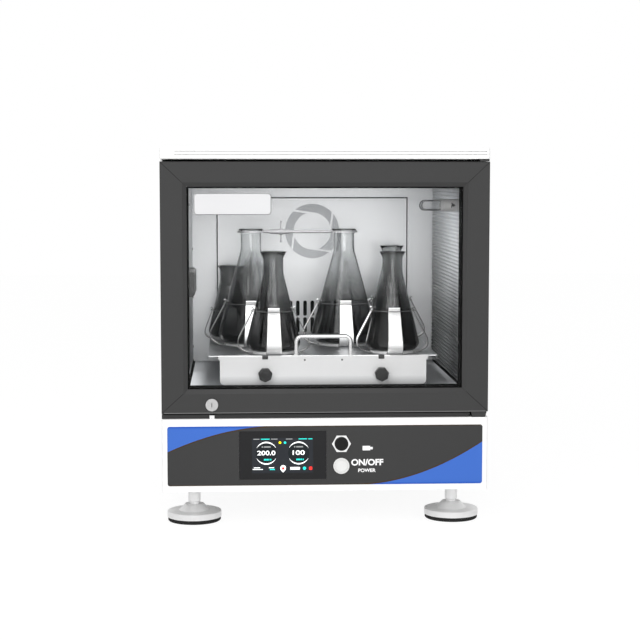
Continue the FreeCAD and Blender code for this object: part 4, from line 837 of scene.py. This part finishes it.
def chamber_trim():
    dark = surface("field_painted_shadow", (0.06, 0.062, 0.064), 0.6)
    light = surface("field_painted_highlight", (0.86, 0.87, 0.88), 0.3)
    rubber_and_painted_shade = MATERIALS["black_rubber"]
    front = DUCT_LOW.y
    # The field's edge: a painted shadow line with a painted highlight line within it
    shadow = frame_outlines(FIELD_LEFT, FIELD_RIGHT, FIELD_LOW, FIELD_HIGH, 0.0026)
    slabs("field_shadow_line", shadow, front - 0.0003, front + 0.0024, "cabinet", dark)
    bright = frame_outlines(FIELD_LEFT + FIELD_STEP, FIELD_RIGHT - FIELD_STEP,
                            FIELD_LOW + FIELD_STEP, FIELD_HIGH - FIELD_STEP, 0.0016)
    slabs("field_highlight_line", bright, front - 0.0002, front + 0.001, "cabinet", light)
    slabs("inlet_screen", [disc_outline(0, INLET_Z, INLET_RADIUS, 64)],
          front + SCREEN_FRONT, front + SCREEN_BACK, "cabinet", screen_mesh())

    floor = CHAMBER_FLOOR
    near, far = LINER_LOW.y + 0.001, DUCT_LOW.y - 0.0005
    seams = [[(corner, floor), (corner + inward * SEAM, floor),
              (corner + inward * 0.0012, floor + 0.0012), (corner, floor + SEAM)]
             for corner, inward in ((CHAMBER_LEFT, 1), (CHAMBER_RIGHT, -1))]
    slabs("floor_seams", seams, near, far, "cabinet", rubber_and_painted_shade)
    left, right = CHAMBER_LEFT + SEAM, CHAMBER_RIGHT - SEAM
    sheet = [(left, floor), (right, floor), (right, floor + FLOOR_SHEET), (left, floor + FLOOR_SHEET)]
    slabs("floor_sheet", [sheet], near, far, "cabinet",
          surface("satin_floor", (0.82, 0.84, 0.86), 0.5, 0.1, stretch=(0.02, 1, 1)))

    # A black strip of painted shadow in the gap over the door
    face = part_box("front_flange")[0].y
    gap = box_outline(-0.003, FRAME_HIGH.z + 0.0012, GAP_WIDTH, GAP_HEIGHT)
    slabs("gap_painted_shadow", [gap], face - 0.0003, face, "cabinet", rubber_and_painted_shade)
    slabs("slot_shadow", [box_outline(0, SLOTS_Z, SLOTS_WIDTH, SLOTS_HEIGHT)],
          front + SCREEN_FRONT, front + SCREEN_BACK, "cabinet", rubber_and_painted_shade)


# Flasks: thin glass with a rounded heel, a straight neck and a beaded rim

# By height: radius of the neck, radius of the rim, length of the neck
FLASK_FORMS = {0.137: (0.0195, 0.024, 0.029), 0.176: (0.018, 0.0235, 0.038),
               0.212: (0.019, 0.023, 0.039)}
FLASK_WALL = 0.0018


def flask(build, low, high):
    height = high.z - low.z
    base = (high.x - low.x) / 2
    neck, rim, neck_length = nearest(FLASK_FORMS, height)
    centre = ((low.x + high.x) / 2, (low.y + high.y) / 2, low.z)
    wall = FLASK_WALL
    flare = rim - neck
    shoulder = height - neck_length
    heel = base * 0.3

    def side(inset, middle):
        return rounded(
            ((0, middle), (base * 0.86 - inset, inset), (base - inset, heel * 0.75),
             (neck - inset, shoulder), (neck - inset, height - 2 * flare), (rim - inset, height)),
            (heel, heel, 0.03, 0.012))

    outer = side(0, 0.0006)
    inner = side(wall, wall + 0.0008)
    bead = [(rim - wall * 0.5 + wall * 0.62 * math.cos(a), height - wall * 0.3
             + wall * 0.3 * math.sin(a)) for a in (0.5, math.pi / 2, math.pi - 0.5)]
    lathe(build, outer[:-1] + bead + inner[:-1][::-1], centre, segments=72)


def flasks():
    build = bmesh.new()
    for low, high in loose_boxes("flasks"):
        flask(build, low, high)
    made = add_build("glass_flasks", build, "platform", MATERIALS["smoked_glass"], 60)
    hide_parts("flasks")


# Spring clamps: four bent strips on a disc, drawn together by a coiled ring

STRIP_SHEET = 0.0012
STRIP_WIDTHS = (0.028, 0.020)
STRIP_ROOT = 0.006
# By height: radius of the disc, widest radius, radius at the top bend
CLAMP_FORMS = {0.062: (0.034, 0.0495, 0.0336), 0.082: (0.0392, 0.0635, 0.0350),
               0.085: (0.050, 0.077, 0.0465)}
CLAMP_DISC = 0.004
DISC_BEVEL = 0.0006
# The painted shade along a strip's edge: its extra thickness, and how far it lies in and out of the
# edge
EDGE_SHADE_SHEET = 0.0002
EDGE_SHADE_IN = 0.0004
EDGE_SHADE_OUT = 0.0001
RING_WIRE_SHARE = 0.6


def strip_line(form, height):
    """The middle line of a strip, as (radius, height) points from the disc to the curled lip."""
    foot, wide, top = form
    wide_height = height * 0.30
    run = ((foot - STRIP_ROOT, STRIP_SHEET / 2), (foot + (wide - foot) * 0.35, STRIP_SHEET / 2),
           (wide, wide_height * 0.42), (wide - 0.0008, wide_height), (top, height - 0.0042),
           (top + 0.0026, height - STRIP_SHEET), (top + 0.0046, height - 0.0028))
    return rounded(run, (0.03, 0.045, 0.02, 0.0035, 0.0022), 8)


def strip(build, form, height, centre, angle, edge=0):
    """A strip, or the painted shade along its edge on the side that edge names."""
    line = strip_line(form, height)
    turn = (math.cos(angle), math.sin(angle))
    sheet = STRIP_SHEET + (EDGE_SHADE_SHEET if edge else 0)
    rings = []
    for i, (radius, up) in enumerate(line):
        before = Vector(line[max(i - 1, 0)])
        after = Vector(line[min(i + 1, len(line) - 1)])
        along = (after - before).normalized()
        normal = Vector((-along.y, along.x)) * sheet / 2
        share = up / height
        half = (STRIP_WIDTHS[0] + (STRIP_WIDTHS[1] - STRIP_WIDTHS[0]) * share) / 2
        near, far = -half, half
        if edge:
            near, far = sorted((edge * (half - EDGE_SHADE_IN), edge * (half + EDGE_SHADE_OUT)))
        ring = []
        for across, side in ((near, -1), (far, -1), (far, 1), (near, 1)):
            r = radius + side * normal.x
            z = up + side * normal.y
            ring.append(build.verts.new((
                centre[0] + r * turn[0] - across * turn[1],
                centre[1] + r * turn[1] + across * turn[0], centre[2] + z)))
        rings.append(ring)
    for low, high in zip(rings, rings[1:]):
        for k in range(4):
            j = (k + 1) % 4
            build.faces.new((low[k], low[j], high[j], high[k]))
    build.faces.new(rings[0][::-1])
    build.faces.new(rings[-1])


def clamps():
    build = bmesh.new()
    edge_shades = bmesh.new()
    for low, high in loose_boxes("flask_clamps"):
        height = high.z - low.z
        form = nearest(CLAMP_FORMS, height)
        centre = ((low.x + high.x) / 2, (low.y + high.y) / 2, low.z)
        radius = form[0]
        lathe(build, ((0, 0), (radius, 0), (radius, CLAMP_DISC - DISC_BEVEL),
                      (radius - DISC_BEVEL, CLAMP_DISC), (0, CLAMP_DISC)), centre, segments=64)
        for i in range(4):
            strip(build, form, height, centre, math.pi / 2 * i)
            for edge in (-1, 1):
                strip(edge_shades, form, height - 0.0003, centre, math.pi / 2 * i, edge)
    made = add_build("spring_clamps", build, "platform", MATERIALS["spring_steel"], 40)
    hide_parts("flask_clamps")
    # The strips' edges are painted dark: painted shade along each edge
    add_build("strip_edges", edge_shades, "platform",
              surface("strip_edge_painted_shade", (0.12, 0.12, 0.12), 0.4, 0.5), 40)


def rings():
    """The coiled rings round the strips, drawn as thinner plain tubes."""
    build = bmesh.new()
    for low, high in loose_boxes("clamp_springs"):
        wire = (high.z - low.z) / 2
        radius = (high.x - low.x) / 2 - wire
        centre = ((low.x + high.x) / 2, (low.y + high.y) / 2, (low.z + high.z) / 2)
        section = disc_outline(radius, 0, wire * RING_WIRE_SHARE, 8)
        lathe(build, section, centre, segments=96, closed=True)
    made = add_build("coiled_rings", build, "platform",
                     surface("ring_wire", (0.2, 0.2, 0.2), 0.4, 0.8), 60)
    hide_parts("clamp_springs")


# The lamp's tube: clear glass with a domed end, and two wire loops within it

# Half the height of a loop, and how far its bend stands from the tube's tip
LAMP_LOOPS = ((0.0086, 0.0009), (0.0072, 0.0046))
LOOP_WIRE = 0.0009
LOOP_END = 0.002
LOOP_HALF_DEPTH = 0.0005


def lamp_tube():
    middle = (TUBE_LOW + TUBE_HIGH) / 2
    radius = (TUBE_HIGH.z - TUBE_LOW.z) / 2
    length = TUBE_HIGH.x - TUBE_LOW.x
    dome = [(radius * math.cos(a), length - radius + radius * math.sin(a))
            for a in (math.pi / 2 * i / 10 for i in range(1, 11))]
    build = bmesh.new()
    lathe(build, [(0, 0), (radius, 0), (radius, length - radius)] + dome,
          (TUBE_HIGH.x, middle.y, middle.z), (-1, 0, 0), 48)
    made = add_build("lamp_tube", build, "cabinet", MATERIALS["lamp_glass"], 60)
    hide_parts("lamp_glass")

    loops = []
    end = TUBE_HIGH.x - LOOP_END
    for span, tip in LAMP_LOOPS:
        centre = TUBE_LOW.x + tip + span
        bend = half_circle(centre, middle.z, span)
        within = half_circle(centre, middle.z, span - LOOP_WIRE)
        feet = [(end, bend[-1][1]), (end, within[-1][1])]
        tops = [(end, within[0][1]), (end, bend[0][1])]
        loops.append(bend + feet + within[::-1] + tops)
    slabs("lamp_loops", loops, middle.y - LOOP_HALF_DEPTH, middle.y + LOOP_HALF_DEPTH, "cabinet",
          MATERIALS["black_plastic"])


# Small inserts: the lamp holder's window and mark, and the stops in the apron's notches

WINDOW_HALF = 0.0054
MARK_START = 0.0178
MARK_HALF = 0.0049
MARK_LENGTH = 0.0078
NOTCH_X = (-0.102, 0.102)


def inserts():
    middle = (HOLDER_LOW + HOLDER_HIGH) / 2
    radius = (HOLDER_HIGH.z - HOLDER_LOW.z) / 2

    def pointer(start, length, half):
        return [(start, middle.z - half), (start + length, middle.z), (start, middle.z + half)]

    start = HOLDER_LOW.x + (HOLDER_HIGH.x - HOLDER_LOW.x) * 0.55
    slabs("holder_window", [pointer(start, 2 * WINDOW_HALF, WINDOW_HALF)],
          middle.y - radius * 0.86, middle.y - radius * 0.45, "cabinet",
          MATERIALS["grey_plastic"])
    slabs("holder_mark", [pointer(HOLDER_LOW.x + MARK_START, MARK_LENGTH, MARK_HALF)],
          middle.y - radius - 0.0003, middle.y - radius * 0.8, "cabinet",
          MATERIALS["black_plastic"])
    stops = [round_outline(x, APRON_HIGH.z - 0.0024, 0.0102, 0.0064, 0.0006) for x in NOTCH_X]
    slabs("notch_stops", stops, APRON_LOW.y - 0.0004, APRON_LOW.y + 0.004, "platform",
          surface("dark_stop", (0.05, 0.05, 0.05), 0.5), 35)


display_picture()
panel_print()
inserts()
lamp_tube()
fine_lines()
badge()
screws()
chamber_trim()
flasks()
clamps()
rings()


# Floor, light and camera

# The world is this bright where it only lights the object, and 1 where it is seen
WORLD_FILL = 0.62
# The floor's own light, and its share where the floor is seen
GLOW_STRENGTH = 1.06
FLOOR_GLOW = 0.86
FLOOR_SIZE = 14
FLOOR_Z = -0.0004
# Name, place, target, width, height, power
AREA_LIGHTS = (("key", (-1.4, -2.6, 2.2), (0, -0.2, 0.35), 1.6, 1.6, 26),
               ("front", (0.1, -2.2, 0.75), (0, 0.1, 0.4), 1.2, 1.0, 15),
               ("chamber", (-0.05, -0.2, 0.578), (-0.06, -0.14, 0.24), 0.28, 0.1, 3.0))


def seen_by(tree, *rays):
    """1 for rays of the named kinds, and 0 for others."""
    path = node(tree, "ShaderNodeLightPath")
    seen = path.outputs[rays[0]]
    for ray in rays[1:]:
        seen = math_node(tree, "MAXIMUM", seen, path.outputs[ray])
    return seen


def studio():
    world = bpy.data.worlds.new("studio")
    bpy.context.scene.world = world
    world.use_nodes = True
    tree = world.node_tree
    back = tree.nodes["Background"]
    seen = seen_by(tree, "Is Camera Ray", "Is Glossy Ray", "Is Transmission Ray")
    tree.links.new(spread(tree, seen, WORLD_FILL, 1.0), back.inputs["Strength"])
    back.inputs["Color"].default_value = (1, 1, 1, 1)

    bpy.ops.mesh.primitive_plane_add(size=FLOOR_SIZE, location=(0, 0, FLOOR_Z))
    floor = bpy.context.object
    floor.name = "floor"
    material, tree, shader = new_material("floor_white")
    broad = noise(tree, place_of(tree), 1.5)
    tree.links.new(mix_colour(tree, broad, (0.9, 0.9, 0.9), (0.93, 0.93, 0.93)),
                   shader.inputs["Base Color"])
    shader.inputs["Roughness"].default_value = 0.8
    shader.inputs["Specular IOR Level"].default_value = 0.1
    glow = node(tree, "ShaderNodeEmission")
    glow.inputs["Strength"].default_value = GLOW_STRENGTH
    mixer = node(tree, "ShaderNodeMixShader")
    seen = seen_by(tree, "Is Camera Ray", "Is Glossy Ray")
    tree.links.new(math_node(tree, "MULTIPLY", seen, FLOOR_GLOW), mixer.inputs[0])
    tree.links.new(shader.outputs[0], mixer.inputs[1])
    tree.links.new(glow.outputs[0], mixer.inputs[2])
    tree.links.new(mixer.outputs[0], tree.nodes["Material Output"].inputs["Surface"])
    floor.data.materials.append(material)


def area_light(name, place, target, width, height, power):
    data = bpy.data.lights.new(name, "AREA")
    data.shape = "RECTANGLE"
    data.size = width
    data.size_y = height
    data.energy = power
    lamp = bpy.data.objects.new(name, data)
    bpy.context.scene.collection.objects.link(lamp)
    lamp.location = place
    lamp.rotation_euler = (Vector(target) - Vector(place)).to_track_quat("-Z", "Y").to_euler()
    return lamp


def camera():
    data = bpy.data.cameras.new("camera")
    data.lens = CAMERA_LENS
    data.sensor_width = CAMERA_SENSOR
    data.clip_end = 50
    made = bpy.data.objects.new("camera", data)
    bpy.context.scene.collection.objects.link(made)
    made.location = CAMERA_PLACE
    made.rotation_euler = (math.radians(90) + CAMERA_PITCH, 0, CAMERA_YAW)
    bpy.context.scene.camera = made


studio()
lights = {row[0]: area_light(*row) for row in AREA_LIGHTS}
# The chamber's light isn't seen itself, directly, in gloss or through glass
lights["chamber"].visible_camera = False
lights["chamber"].visible_glossy = False
lights["chamber"].visible_transmission = False
camera()
bpy.context.scene.view_settings.view_transform = "Standard"
